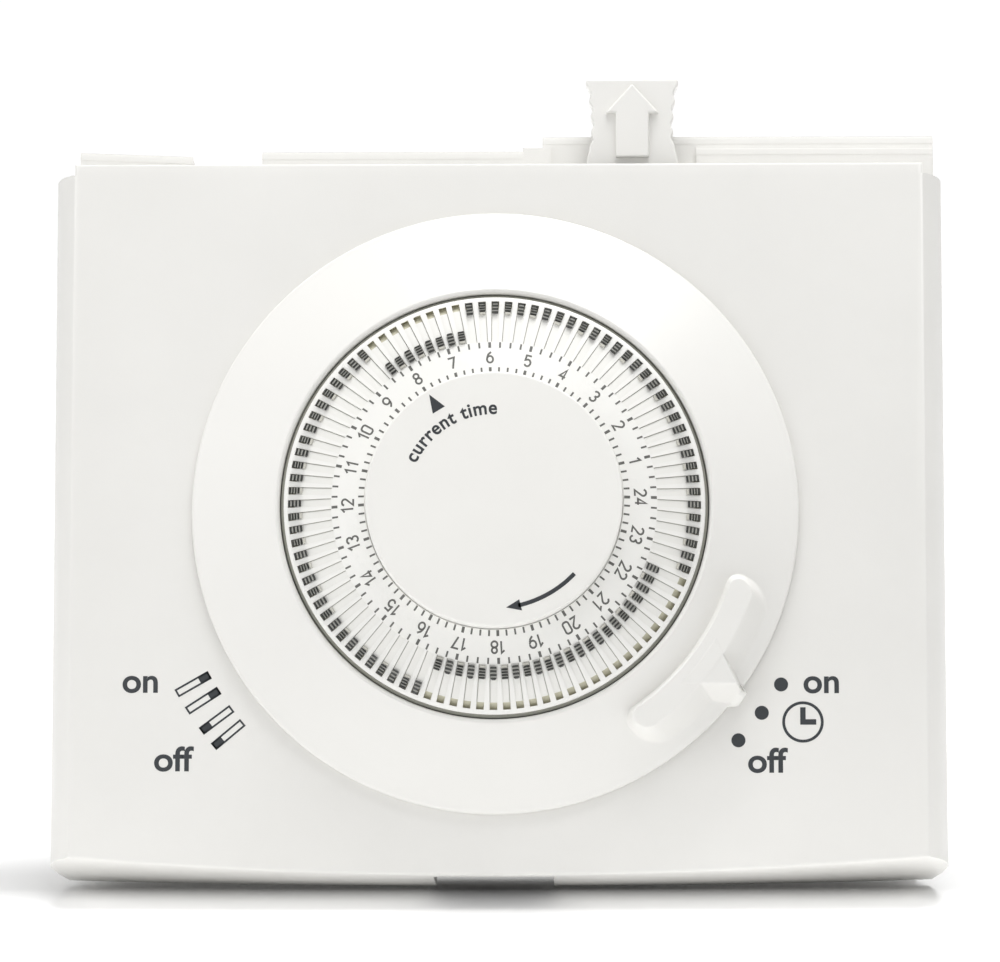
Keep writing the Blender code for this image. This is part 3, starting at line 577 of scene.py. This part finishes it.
def dial_line():
    """(radius, depth) of the points of one line across the dial, in the order that make_dial uses."""
    bore = [(DIAL_BORE, 0.9 * MM), (DIAL_BORE, 0.1 * MM), (DIAL_BORE + 0.12 * MM, 0.0), (BAND_OUTER, 0.0)]
    top = [(SLOT_INNER, 0.0), (PIT_INNER, 0.0), (SLOT_OUTER, 0.0)]
    floor = [(SLOT_INNER, FLOOR_DEPTH), (PIT_INNER, FLOOR_DEPTH)]
    groove = [(SLOT_INNER, GROOVE_DEPTH), (PIT_INNER, GROOVE_DEPTH)]
    pit = [(PIT_INNER, PIT_DEPTHS[0]), (SLOT_OUTER, PIT_DEPTHS[1])]
    rim = [(27.6 * MM, 0.0), (27.74 * MM, 0.06 * MM), (RIM_RADIUS, 0.2 * MM)]
    line = [(r, dial_depth(r) + offset) for r, offset in bore + top + floor + groove + pit + rim]
    face = dial_depth(DIAL_RADIUS)
    # the rim wall and flange take the dark olive of painted shade
    line += [(RIM_RADIUS, face + 0.7 * MM), (FLANGE_RADIUS, face + 0.85 * MM)]
    line += [(FLANGE_RADIUS, face + 1.2 * MM), (DIAL_RADIUS, face + 1.2 * MM), (DIAL_RADIUS, RIM_BACK)]
    line += [(SLOT_OUTER, RIM_BACK), (SLOT_OUTER, -5.2 * MM), (SLOT_INNER, -6.6 * MM)]
    line += [(BACK_INNER, -7.6 * MM), (BACK_INNER, dial_depth(BACK_INNER) + 0.9 * MM)]
    return line


# materials of the dial's faces, and the chains of dial_line's points that its faces run along
LAND, FLOOR, PIT, SIDE, RIM = range(5)
DIAL_MATERIALS = ["dial", "floor", "pit", "groove", "rim"]
BORE_CHAIN = [0, 1, 2, 3, 4]
LAND_CHAIN = [4, 5, 6]
SLOT_CHAINS = {"floor": ([4, 7, 8, 10], FLOOR), "groove": ([4, 7, 9, 10], SIDE)}
PIT_CHAIN = [10, 11, 12, 6]
EDGE_CHAIN = [6, 13, 14, 15]
RIM_CHAIN = [15, 16, 17, 18, 19, 20]
SLOT_WALLS = {
    frozenset(("land", "floor")): [4, 5, 6, 12, 11, 10, 8, 7],
    frozenset(("floor", "groove")): [7, 8, 10, 9],
    frozenset(("groove", "land")): [4, 5, 6, 12, 11, 10, 9, 7],
}


def make_dial():
    """The slotted cone: a thin inner band, lands, shallow slots with a groove along one side, and a rim."""
    outline = dial_line()
    size = len(outline)
    half = SLOT_WIDTH / 2
    points, faces, indices, kinds = [], [], [], []
    for k in range(SLOTS):
        angle = hour_angle((k + 0.5) * 24 / SLOTS)
        if math.cos(angle) > 0:
            lines = ((-half, "floor"), (half - GROOVE_WIDTH, "groove"), (half, "land"))
        else:
            lines = ((-half, "groove"), (GROOVE_WIDTH - half, "floor"), (half, "land"))
        for offset, kind in lines:
            kinds.append(kind)
            for radius, depth in outline:
                x, z = beside(radius, angle, offset)
                points.append(place(x, depth, z))

    def strip(line, chain, material):
        first, second = line * size, ((line + 1) % len(kinds)) * size
        for a, b in zip(chain, chain[1:]):
            faces.append([first + a, first + b, second + b, second + a])
            indices.append(material)

    for line, kind in enumerate(kinds):
        strip(line, BORE_CHAIN, LAND)
        if kind == "land":
            strip(line, LAND_CHAIN, LAND)
        else:
            strip(line, *SLOT_CHAINS[kind])
            # the pit's darker tan is painted shade in the deep end, with a real yellowish tint
            strip(line, PIT_CHAIN, PIT)
        strip(line, EDGE_CHAIN, LAND)
        strip(line, RIM_CHAIN, RIM)
        strip(line, list(range(RIM_CHAIN[-1], size)) + [0], RIM)
        # the slot's walls take the grey of painted shade
        wall = SLOT_WALLS[frozenset((kinds[line - 1], kind))]
        faces.append([line * size + i for i in wall])
        indices.append(SIDE)
    piece("dial_face", points, faces, DIAL_MATERIALS, "dial", ["dial_ring"], "dial_white", indices=indices)


TIP_LENGTH = 1.75 * MM
TIP_RISE = 0.44 * MM
TIP_HALF_WIDTH = 0.41 * MM
TIP_FOOT = 0.05 * MM  # how far a tip reaches behind the dial's face
TIP_ON = 21.65 * MM  # where a tip starts, in its two positions
TIP_OFF = 25.4 * MM
RIBS = 4
# a rib as (share of the ribs' pitch, rise, share of the tip's width, and that share at a rounded nose)
RIB_SHAPE = [
    (0.14, 0.12 * MM, 0.82, 0.82),
    (0.26, 0.36 * MM, 0.95, 0.95),
    (0.48, TIP_RISE, 1.0, 0.88),
    (0.70, 0.36 * MM, 0.95, 0.68),
    (0.82, 0.12 * MM, 0.82, 0.42),
]
# a heel as (distance past the tip's start, rise, share of the tip's width)
HEEL_SHAPE = [(-0.06 * MM, 0.1 * MM, 0.8), (0.04 * MM, 0.26 * MM, 0.9), (0.28 * MM, 0.28 * MM, 0.9)]
INLAY_RISE = 0.22 * MM
DAY_BANK = range(34, 66)  # quarter hours from 08:30 to 16:30
NIGHT_BANK = range(90, 122)  # from 22:30 round to 06:30


def bar(angle, spans):
    """A bar along a slot. Each span is (radius, rise in front of the face, share of the tip's width)."""
    sections = []
    for radius, rise, share in spans:
        section = []
        for side, offset in ((-1, -rise), (1, -rise), (1, TIP_FOOT), (-1, TIP_FOOT)):
            x, z = beside(radius, angle, side * share * TIP_HALF_WIDTH)
            section.append(place(x, dial_depth(radius) + offset, z))
        sections.append(section)
    return loft(sections)


def tappet_parts(index, start):
    """One tappet as lists of solids by material: its ribs, the inlay between them, and its heel."""
    angle = hour_angle((index + 0.5) * 24 / SLOTS)
    rounded = index % 2 == 1
    first = start if rounded else start + 0.3 * MM
    last = start + TIP_LENGTH + (0.12 * MM if rounded else 0.0)
    pitch = (last - first) / RIBS
    ribs = []
    for i in range(RIBS):
        low = first + i * pitch
        nose = rounded and i == RIBS - 1
        ribs.append(bar(angle, [
            (low + share * pitch, rise, nose_width if nose else width)
            for share, rise, width, nose_width in RIB_SHAPE
        ]))
    ends = (first + 0.1 * MM, last - 0.3 * MM)
    inlay = [bar(angle, [(radius, INLAY_RISE, 0.8) for radius in ends])]
    heel = []
    if not rounded:
        heel.append(bar(angle, [(start + past, rise, width) for past, rise, width in HEEL_SHAPE]))
    return ribs, inlay, heel


def make_tappet_piece(name, indices, start, body, node_name):
    points, faces, materials = [], [], []
    for index in indices:
        for material, solids in enumerate(tappet_parts(index, start)):
            more_points, more_faces = merged(solids)
            first = len(points)
            points += more_points
            faces += [[first + i for i in face] for face in more_faces]
            materials += [material] * len(more_faces)
    piece(name, points, faces, ["tip", "line", "heel"], body, [node_name], "tappet", indices=materials)


def make_tappets():
    for body, members in frame["record"]["behaviour"]["bodies"].items():
        if not body.startswith("tappet_"):
            continue
        clock = members[0].split("_")[1]
        index = int(clock[:2]) * 4 + int(clock[2:]) // 15
        make_tappet_piece(f"slider_{clock}", [index], TIP_ON, body, members[0])
    for part_of_day, bank in (("day", DAY_BANK), ("night", NIGHT_BANK)):
        quarters = [k % SLOTS for k in bank]
        make_tappet_piece(f"sliders_{part_of_day}", quarters, TIP_OFF, "dial", f"tappet_bank_{part_of_day}")


DISC_RADIUS = 16.88 * MM
DISC_BEND = 0.35 * MM  # radius of its rounded edge
DISC_STEP = 15.5 * MM  # radius of the step behind it
DISC_STEP_DEPTHS = (-9.2 * MM, -11.3 * MM)


def make_disc():
    profile = [(0, -DISC_RISE)]
    for i in range(7):
        turn = math.radians(90 * i / 6)
        radius = DISC_RADIUS - DISC_BEND + DISC_BEND * math.sin(turn)
        profile.append((radius, -DISC_RISE + DISC_BEND - DISC_BEND * math.cos(turn)))
    front, back = DISC_STEP_DEPTHS
    profile += [(DISC_RADIUS, front), (DISC_STEP, front), (DISC_STEP, back), (0, back)]
    points, faces = turned(profile, 160)
    piece("centre_cap", points, faces, ["disc"], "case", ["centre_disc"], "disc_white", 40)


# ---------------------------------------------------------------- print


def ribbon(path, width, closed=False):
    """A flat stroke along (x, y) points, as quads of (x, y) corners with mitred joints."""
    count = len(path)
    edges = []
    for i, point in enumerate(path):
        before = path[i - 1] if (i > 0 or closed) else None
        after = path[(i + 1) % count] if (i < count - 1 or closed) else None
        here = Vector(point)
        into = (here - Vector(before)).normalized() if before else None
        out = (Vector(after) - here).normalized() if after else None
        if into and out:
            along = (into + out).normalized()
            across = Vector((-along.y, along.x))
            side = across / max(0.5, across.dot(Vector((-out.y, out.x))))
        else:
            along = into or out
            side = Vector((-along.y, along.x))
        edges.append((here + side * width / 2, here - side * width / 2))
    quads = []
    for i in range(count if closed else count - 1):
        a, b = edges[i], edges[(i + 1) % count]
        quads.append([tuple(a[0]), tuple(b[0]), tuple(b[1]), tuple(a[1])])
    return quads


def arc(cx, cy, rx, ry, start, end, steps=8):
    """Points of an elliptical arc, angles in degrees."""
    turns = [math.radians(start + (end - start) * i / steps) for i in range(steps + 1)]
    return [(cx + rx * math.cos(t), cy + ry * math.sin(t)) for t in turns]


DIGIT_WIDTH = 0.56  # as a share of its height
ONE_WIDTH = 0.42


def digit_strokes(digit):
    """Strokes of a digit in a box of the digits' width and 1 high."""
    w, r = DIGIT_WIDTH, 0.2
    mid = w / 2
    strokes = {
        "0": [arc(w - r, 1 - r, r, r, 0, 90) + arc(r, 1 - r, r, r, 90, 180)
              + arc(r, r, r, r, 180, 270) + arc(w - r, r, r, r, 270, 360) + [(w, 1 - r)]],
        "1": [[(0.08, 0.78), (0.34, 1.0), (0.34, 0.0)]],
        "2": [arc(mid, 0.74, mid, 0.26, 165, -35) + [(0.0, 0.0), (w, 0.0)]],
        "3": [arc(mid, 0.76, mid - 0.02, 0.24, 160, -90), arc(mid, 0.26, mid, 0.26, 90, -160)],
        "4": [[(0.4, 0.0), (0.4, 1.0), (0.0, 0.26), (w, 0.26)]],
        "5": [[(w - 0.04, 1.0), (0.08, 1.0), (0.04, 0.55)] + arc(mid, 0.32, mid, 0.32, 130, -150)],
        "6": [arc(mid, 0.31, mid, 0.31, 180, -180, 16) + [(0.05, 0.55), (0.14, 0.78), (0.38, 1.0)]],
        "7": [[(0.0, 1.0), (w, 1.0), (0.2, 0.0)]],
        "8": [arc(mid, 0.76, mid - 0.05, 0.24, 270, -90, 16), arc(mid, 0.26, mid, 0.26, 90, -270, 16)],
        "9": [arc(mid, 0.69, mid, 0.31, 0, 360, 16) + [(w - 0.05, 0.45), (w - 0.14, 0.22), (0.18, 0.0)]],
    }
    return strokes[digit]


INK = 0.02 * MM  # how far print stands out of its surface, and how deep it goes


def stamp(quads, surface):
    """Thin solids of ink: each flat polygon goes on a surface, which gives (x, depth, z) for a point."""
    solids = []
    for quad in quads:
        base = [surface(*corner) for corner in quad]
        count = len(quad)
        points = [place(x, depth + INK, z) for x, depth, z in base]
        points += [place(x, depth - INK, z) for x, depth, z in base]
        faces = [list(range(count)), list(range(count, 2 * count))]
        faces += [[i, (i + 1) % count, count + (i + 1) % count, count + i] for i in range(count)]
        solids.append((points, faces))
    return solids


def on_dial(angle, base):
    """Bends flat print round the dial: x runs clockwise from the angle, y outwards from the base radius."""
    def surface(x, y):
        radius = base + y
        turn = angle - x / (base + 1.2 * MM)
        return (radius * math.cos(turn), dial_depth(radius), radius * math.sin(turn))
    return surface


def on_disc(angle, base):
    """Bends flat print round the disc in the same way."""
    def surface(x, y):
        turn = angle - x / base
        radius = base + y
        return (radius * math.cos(turn), -DISC_RISE, radius * math.sin(turn))
    return surface


def on_flat(x0, z0, turn=0.0, depth=0.0):
    """Flat print at a place about the dial's axis, turned anticlockwise."""
    def surface(x, y):
        across = x * math.cos(turn) - y * math.sin(turn)
        return (x0 + across, depth, z0 + x * math.sin(turn) + y * math.cos(turn))
    return surface


def across_dial(angle):
    """Print along a radius of the dial: x is the offset to its side, y the radius."""
    def surface(x, y):
        px, pz = beside(y, angle, x)
        return (px, dial_depth(y), pz)
    return surface


TICK_BANDS = ((20.6 * MM, 21.38 * MM), (DIAL_BORE + 0.13 * MM, 17.85 * MM))  # outer and inner
HOUR_TICK = 0.36 * MM
QUARTER_TICK = 0.24 * MM
NUMERAL_BASE = 18.5 * MM
NUMERAL_HEIGHT = 1.5 * MM
NUMERAL_SPACING = 0.26  # as a share of the height
NUMERAL_PEN = 0.25 * MM


def numeral(hour):
    text = str(hour)
    widths = [ONE_WIDTH if digit == "1" else DIGIT_WIDTH for digit in text]
    x = -(sum(widths) + NUMERAL_SPACING * (len(text) - 1)) / 2
    solids = []
    for digit, width in zip(text, widths):
        for stroke in digit_strokes(digit):
            path = [((x + px) * NUMERAL_HEIGHT, py * NUMERAL_HEIGHT) for px, py in stroke]
            solids += stamp(ribbon(path, NUMERAL_PEN), on_dial(hour_angle(hour), NUMERAL_BASE))
        x += width + NUMERAL_SPACING
    return solids


def make_scale():
    solids = []
    for k in range(SLOTS):
        half = (HOUR_TICK if k % 4 == 0 else QUARTER_TICK) / 2
        surface = across_dial(hour_angle(k * 24 / SLOTS))
        for low, high in TICK_BANDS:
            solids += stamp([[(-half, low), (half, low), (half, high), (-half, high)]], surface)
    for hour in range(1, 25):
        solids += numeral(hour)
    points, faces = merged(solids)
    piece("dial_scale", points, faces, ["scale_ink"], "dial", slot="tappet", smooth_angle=20)


def text_quads(text, size, weight, spacing=1.0):
    """Flat polygons of a word in the built-in face, left-aligned at 0, in metres."""
    curve = bpy.data.curves.new("word", "FONT")
    curve.body = text
    curve.size = size
    curve.offset = weight
    curve.space_character = spacing
    curve.resolution_u = 6
    holder = bpy.data.objects.new("word", curve)
    bpy.context.scene.collection.objects.link(holder)
    bpy.context.view_layer.update()
    graph = bpy.context.evaluated_depsgraph_get()
    mesh = bpy.data.meshes.new_from_object(holder.evaluated_get(graph))
    quads = [[tuple(mesh.vertices[i].co.xy) for i in polygon.vertices] for polygon in mesh.polygons]
    bpy.data.objects.remove(holder)
    bpy.data.curves.remove(curve)
    bpy.data.meshes.remove(mesh)
    return quads


def fitted(quads, width):
    """The word centred on x = 0 and stretched to a width."""
    xs = [x for quad in quads for x, y in quad]
    middle = (min(xs) + max(xs)) / 2
    stretch = width / (max(xs) - min(xs))
    return [[((x - middle) * stretch, y) for x, y in quad] for quad in quads]


def circle(radius, steps=40):
    return arc(0, 0, radius, radius, 0, 360, steps)[:-1]


MARKER = math.radians(121.6)  # where the pointer and its words stand
WORDS_BASE = 11.2 * MM
WORDS_WIDTH = 13.2 * MM
WORDS_STYLE = (2.55 * MM, 0.055 * MM, 1.1)  # size, extra weight and spacing
POINTER_BASE = 13.78 * MM
POINTER_HALF = 0.93 * MM
POINTER_HEIGHT = 2.4 * MM
SWEEP_RADIUS = 14.5 * MM  # the curved arrow, with its angles in degrees
SWEEP_PEN = 0.55 * MM
SWEEP_START, SWEEP_END = -43.4, -77.3
SWEEP_HEEL, SWEEP_TIP = -76.0, -83.6
SWEEP_HEAD = 0.75 * MM  # half the width of its head


def make_disc_print():
    words = fitted(text_quads("current time", *WORDS_STYLE), WORDS_WIDTH)
    solids = stamp(words, on_disc(MARKER, WORDS_BASE))
    pointer = [[(-POINTER_HALF, 0), (POINTER_HALF, 0), (0, POINTER_HEIGHT)]]
    solids += stamp(pointer, on_disc(MARKER, POINTER_BASE))
    flat = on_flat(0, 0, 0, -DISC_RISE)
    sweep = arc(0, 0, SWEEP_RADIUS, SWEEP_RADIUS, SWEEP_START, SWEEP_END, 24)
    solids += stamp(ribbon(sweep, SWEEP_PEN), flat)
    head = [(SWEEP_TIP, 0.0), (SWEEP_HEEL, SWEEP_HEAD), (SWEEP_HEEL, -SWEEP_HEAD)]
    corners = [(SWEEP_RADIUS + out, math.radians(angle)) for angle, out in head]
    solids += stamp([[(radius * math.cos(turn), radius * math.sin(turn)) for radius, turn in corners]], flat)
    points, faces = merged(solids)
    piece("disc_print", points, faces, ["ink"], "case", slot="tappet", smooth_angle=20)


# words on the plate as (text, x and z from the dial's axis in mm)
WORDS = [("on", -47.0, -23.95), ("off", -42.45, -34.4), ("on", 43.1, -24.15), ("off", 36.0, -34.7)]
WORD_WIDTHS = {"on": 4.68 * MM, "off": 5.25 * MM}
WORD_SIZE = 4.55 * MM
WORD_WEIGHT = 0.09 * MM
ICONS = [(209.8, False), (213.0, False), (216.9, True), (220.0, True)]  # (angle, filled at the outer end)
ICON_ENDS = (43.55 * MM, 48.6 * MM)
ICON_HALF = 0.46 * MM
ICON_FILLED = 0.31  # share of its length that the tappet fills
ICON_PEN = 0.25 * MM
DOT_ANGLES = (-31.4, -37.3, -43.5)
DOT_PLACE = 44.28 * MM
DOT_RADIUS = 0.93 * MM
CLOCK_PLACE = (40.65 * MM, -28.06 * MM)
CLOCK_RADIUS = 2.55 * MM
CLOCK_PEN = 0.38 * MM
HANDS = [(0, 1.95 * MM), (0, 0), (1.75 * MM, 0)]
HANDS_PEN = 0.72 * MM


def slot_icon(angle, filled_outside):
    """A slot seen from the front with its tappet at one end, drawn along a radius of the dial."""
    low, high = ICON_ENDS
    filled = (high - low) * ICON_FILLED
    inner, outer, side = low + ICON_PEN / 2, high - ICON_PEN / 2, ICON_HALF
    shapes = ribbon([(inner, -side), (outer, -side), (outer, side), (inner, side)], ICON_PEN, True)
    start = high - filled if filled_outside else low
    shapes.append([(start, -side), (start + filled, -side), (start + filled, side), (start, side)])
    return stamp(shapes, on_flat(0, 0, math.radians(angle)))


def make_plate_print():
    solids = []
    for text, x, z in WORDS:
        letters = fitted(text_quads(text, WORD_SIZE, WORD_WEIGHT), WORD_WIDTHS[text])
        solids += stamp(letters, on_flat(x * MM, z * MM))
    for angle, filled_outside in ICONS:
        solids += slot_icon(angle, filled_outside)
    for angle in DOT_ANGLES:
        turn = math.radians(angle)
        x, z = DOT_PLACE * math.cos(turn), DOT_PLACE * math.sin(turn)
        solids += stamp([circle(DOT_RADIUS)], on_flat(x, z))
    clock = on_flat(*CLOCK_PLACE)
    solids += stamp(ribbon(circle(CLOCK_RADIUS, 48), CLOCK_PEN, True), clock)
    solids += stamp(ribbon(HANDS, HANDS_PEN), clock)
    points, faces = merged(solids)
    piece("plate_print", points, faces, ["ink"], "case", slot="tappet", smooth_angle=20)


# ---------------------------------------------------------------- latch

LATCH_DEPTHS = (4.0 * MM, 7.0 * MM)
LATCH_SHOULDER = 95.0 * MM
LATCH_BASE = 96.0 * MM  # where its waved sides start
WAVE_HEIGHT = 0.16 * MM
WAVE_PITCH = 2.1 * MM
ARROW_DEPTHS = (3.2 * MM, 4.2 * MM)
ARROW_FOOT, ARROW_NECK, ARROW_TIP = 97.1 * MM, 103.2 * MM, 107.2 * MM
ARROW_SHAFT, ARROW_HEAD = 2.25 * MM, 3.6 * MM  # half widths


def latch_side(half, foot):
    """The tab's right side from its foot up, as (x from its middle, z): a waist with waved grips."""
    side = [(half, foot), (half, LATCH_SHOULDER)]
    steps = 60
    for i in range(steps + 1):
        z = LATCH_BASE + (LATCH_TOP - 1.2 * MM - LATCH_BASE) * i / steps
        share = (z - LATCH_BASE) / (LATCH_TOP - LATCH_BASE)
        waist = 0.86 + 0.13 * (1 - ease(share / 0.4)) + 0.08 * ease((share - 0.45) / 0.55)
        wave = WAVE_HEIGHT * math.sin(2 * math.pi * (z - LATCH_BASE) / WAVE_PITCH)
        side.append((half * waist + wave * ease((share - 0.15) / 0.2), z))
    side += [(half - 0.1 * MM, LATCH_TOP - 0.9 * MM), (half, LATCH_TOP - 0.7 * MM)]
    side.append((half - 0.05 * MM, LATCH_TOP))
    return side


def plate_of(outline, middle, depths):
    return loft([[(middle + x, FACE_Y + depth, z) for x, z in outline] for depth in depths])


def make_latch():
    low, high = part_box("latch_slider")
    middle = (low.x + high.x) / 2
    side = latch_side((high.x - low.x) / 2, low.z)
    tab = plate_of(side + [(-x, z) for x, z in reversed(side)], middle, LATCH_DEPTHS)
    soften(piece("latch_tab", *tab, ["ring"], "latch", ["latch_slider"], "case_white"), 0.3 * MM)
    outline = [(-ARROW_SHAFT, ARROW_FOOT), (ARROW_SHAFT, ARROW_FOOT), (ARROW_SHAFT, ARROW_NECK)]
    outline += [(ARROW_HEAD, ARROW_NECK), (0, ARROW_TIP), (-ARROW_HEAD, ARROW_NECK)]
    outline.append((-ARROW_SHAFT, ARROW_NECK))
    arrow = plate_of(outline, middle, ARROW_DEPTHS)
    soften(piece("latch_arrow", *arrow, ["ring"], "latch", (), "case_white"), 0.28 * MM)


RAIL_DEPTH = 7.7 * MM
LEDGE_TOP = 98.8 * MM
TALL_TOP = 100.9 * MM
FRONT_TOP = 99.3 * MM
# (name, ends in x, depth of the face, height of the top at each end)
RAIL_CAPS = [
    ("tongue_edge", (-56.7 * MM, -41.5 * MM), RAIL_DEPTH, (LEDGE_TOP, 98.2 * MM)),
    ("ledge_edge", (-32.1 * MM, 3.3 * MM), RAIL_DEPTH, (LEDGE_TOP, LEDGE_TOP)),
    ("tall_edge", (5.9 * MM, 58.7 * MM), RAIL_DEPTH + 0.6 * MM, (TALL_TOP, TALL_TOP)),
    ("front_edge", (26.7 * MM, 58.5 * MM), RAIL_DEPTH, (FRONT_TOP, FRONT_TOP)),
]
CAP_BEND = 0.3 * MM  # radius of the rounded edge
CAP_LAP = 0.03 * MM  # how far a cap stands out of the rail's surfaces
CAP_WIDTH = 1.2 * MM
CAP_HEIGHT = 1.0 * MM


def make_rail_caps():
    """A rounded edge along the top of each rail."""
    outline = [(CAP_WIDTH, -CAP_HEIGHT), (-CAP_LAP, -CAP_HEIGHT)]
    for i in range(7):
        turn = math.radians(90 * i / 6)
        depth = CAP_BEND - CAP_LAP - CAP_BEND * math.cos(turn)
        outline.append((depth, CAP_LAP - CAP_BEND + CAP_BEND * math.sin(turn)))
    outline.append((CAP_WIDTH, CAP_LAP))
    for name, xs, depth, tops in RAIL_CAPS:
        ends = (xs[0] - CAP_LAP, xs[1] + CAP_LAP)
        sections = [[(x, FACE_Y + depth + d, top + z) for d, z in outline] for x, top in zip(ends, tops)]
        piece(name, *loft(sections), ["back"], "case", (), "case_white", 40)


# ---------------------------------------------------------------- what stays as CAD

KEPT = {
    # the rear cover takes the lighter copy of the case white, which is painted light
    "back": ["rear_cover"],
    "grey": ["chassis_plate"],
    "acetal": ["dial_gear", "idler_gear", "mode_slide"],
    "dark": ["switch_body", "connector_body"],
    "steel": ["switch_lever", "centre_post", "post_clip", "motor_body"] + [f"screw_{i}" for i in range(1, 5)],
    "brass": ["motor_pinion"] + [f"contact_{i}" for i in range(1, 5)],
}
ROUNDED = {  # radii of their edges
    "rear_cover": 0.35 * MM,
    "connector_body": 0.25 * MM,
    "switch_body": 0.2 * MM,
    "mode_slide": 0.2 * MM,
}


def dress_kept_nodes():
    for finish, names in KEPT.items():
        for name in names:
            obj = frame["nodes"][name]
            obj.data.materials.clear()
            obj.data.materials.append(FINISH[finish])
            if name not in ROUNDED:
                continue
            weld = obj.modifiers.new("weld", "WELD")
            weld.merge_threshold = 0.001 * MM
            flat = obj.modifiers.new("flat", "DECIMATE")
            flat.decimate_type = "DISSOLVE"
            flat.angle_limit = math.radians(1)
            soften(obj, ROUNDED[name], 2, 50)


# ---------------------------------------------------------------- studio

FLOOR_TILT = math.radians(14)
FLOOR_HALF = 20.0
GLOW_FRONT = (0.06, 0.25)  # the floor's glow far in front of the object, and near it
GLOW_FRONT_REACH = (0.065, 0.03)
# the glow fades out just in front of the contact, which paints a dark contact shadow on the floor
CONTACT_SHADOW_FADE = (0.012, 0.002)  # how far in front of the contact it fades out
GLOW_BEHIND = 0.62
GLOW_BEHIND_REACH = 0.14
WORLD_STRENGTH = 0.455
AIM = Vector((0, 0, 0.05))
LAMPS = [  # (name, place, size, power)
    ("key", (-0.60, -0.37, 0.0), (0.8, 0.8), 2.2),
    ("top", (0.08, -0.15, 0.75), (0.5, 0.15), 3.4),
    ("overhead", (0.16, -0.38, 0.62), (0.42, 0.22), 1.4),
]


def make_floor_finish():
    """A pale floor with painted light: it glows a little in front and more behind the object, and the glow
    fades out right under it, which paints a contact shadow.
    """
    white, paler = (0.93, 0.93, 0.93), (0.95, 0.95, 0.95)
    finish = finish_of("studio_floor", white, paler, 0.9, 400, 0.002 * MM, Emission_Color=(1, 1, 1, 1))
    tree = finish.node_tree
    coords = tree.nodes.new("ShaderNodeTexCoord").outputs["Object"]
    split = tree.nodes.new("ShaderNodeSeparateXYZ")
    tree.links.new(coords, split.inputs["Vector"])
    contact = FACE_Y + SKIRT_DEPTH
    front = remap(tree, split.outputs["Y"], *GLOW_FRONT, *[contact - reach for reach in GLOW_FRONT_REACH])
    # painted contact shadow: no glow right in front of the contact
    under = remap(tree, split.outputs["Y"], 1.0, 0.0, *[contact - reach for reach in CONTACT_SHADOW_FADE])
    behind = remap(tree, split.outputs["Y"], 0.0, GLOW_BEHIND, contact, contact + GLOW_BEHIND_REACH)
    total = tree.nodes.new("ShaderNodeMath")
    total.operation = "MULTIPLY_ADD"
    for link, socket in zip((front, under, behind), total.inputs):
        tree.links.new(link, socket)
    tree.links.new(total.outputs["Value"], tree.nodes["Principled BSDF"].inputs["Emission Strength"])
    return finish


def make_floor():
    """A floor that meets the skirt's rear edge and runs down towards the camera, which looks up."""
    pivot = Vector((0, FACE_Y + SKIRT_DEPTH, REAR_LIFT - 0.02 * MM))
    turn = Matrix.Rotation(FLOOR_TILT, 3, "X")
    corners = [Vector((x * FLOOR_HALF, y * FLOOR_HALF, 0)) for x, y in ((-1, -1), (1, -1), (1, 1), (-1, 1))]
    mesh = bpy.data.meshes.new("floor")
    mesh.from_pydata([tuple(pivot + turn @ corner) for corner in corners], [], [[0, 1, 2, 3]])
    mesh.materials.append(make_floor_finish())
    floor = bpy.data.objects.new("floor", mesh)
    bpy.context.scene.collection.objects.link(floor)


def make_lights():
    """The plain view transform, a pale world and the soft lamps."""
    scene = bpy.context.scene
    scene.view_settings.view_transform = "Standard"
    scene.world = bpy.data.worlds.new("studio")
    scene.world.use_nodes = True
    background = scene.world.node_tree.nodes["Background"]
    background.inputs["Color"].default_value = (1, 1, 1, 1)
    background.inputs["Strength"].default_value = WORLD_STRENGTH
    for name, where, size, power in LAMPS:
        data = bpy.data.lights.new(name, "AREA")
        data.shape = "RECTANGLE"
        data.size, data.size_y = size
        data.energy = power
        lamp = bpy.data.objects.new(name, data)
        lamp.location = where
        lamp.rotation_mode = "QUATERNION"
        lamp.rotation_quaternion = (AIM - Vector(where)).to_track_quat("-Z", "Y")
        scene.collection.objects.link(lamp)


make_cover()
make_gasket()
make_mode_ring()
make_dial()
make_tappets()
make_disc()
make_scale()
make_disc_print()
make_plate_print()
make_latch()
make_rail_caps()
dress_kept_nodes()
make_floor()
make_lights()
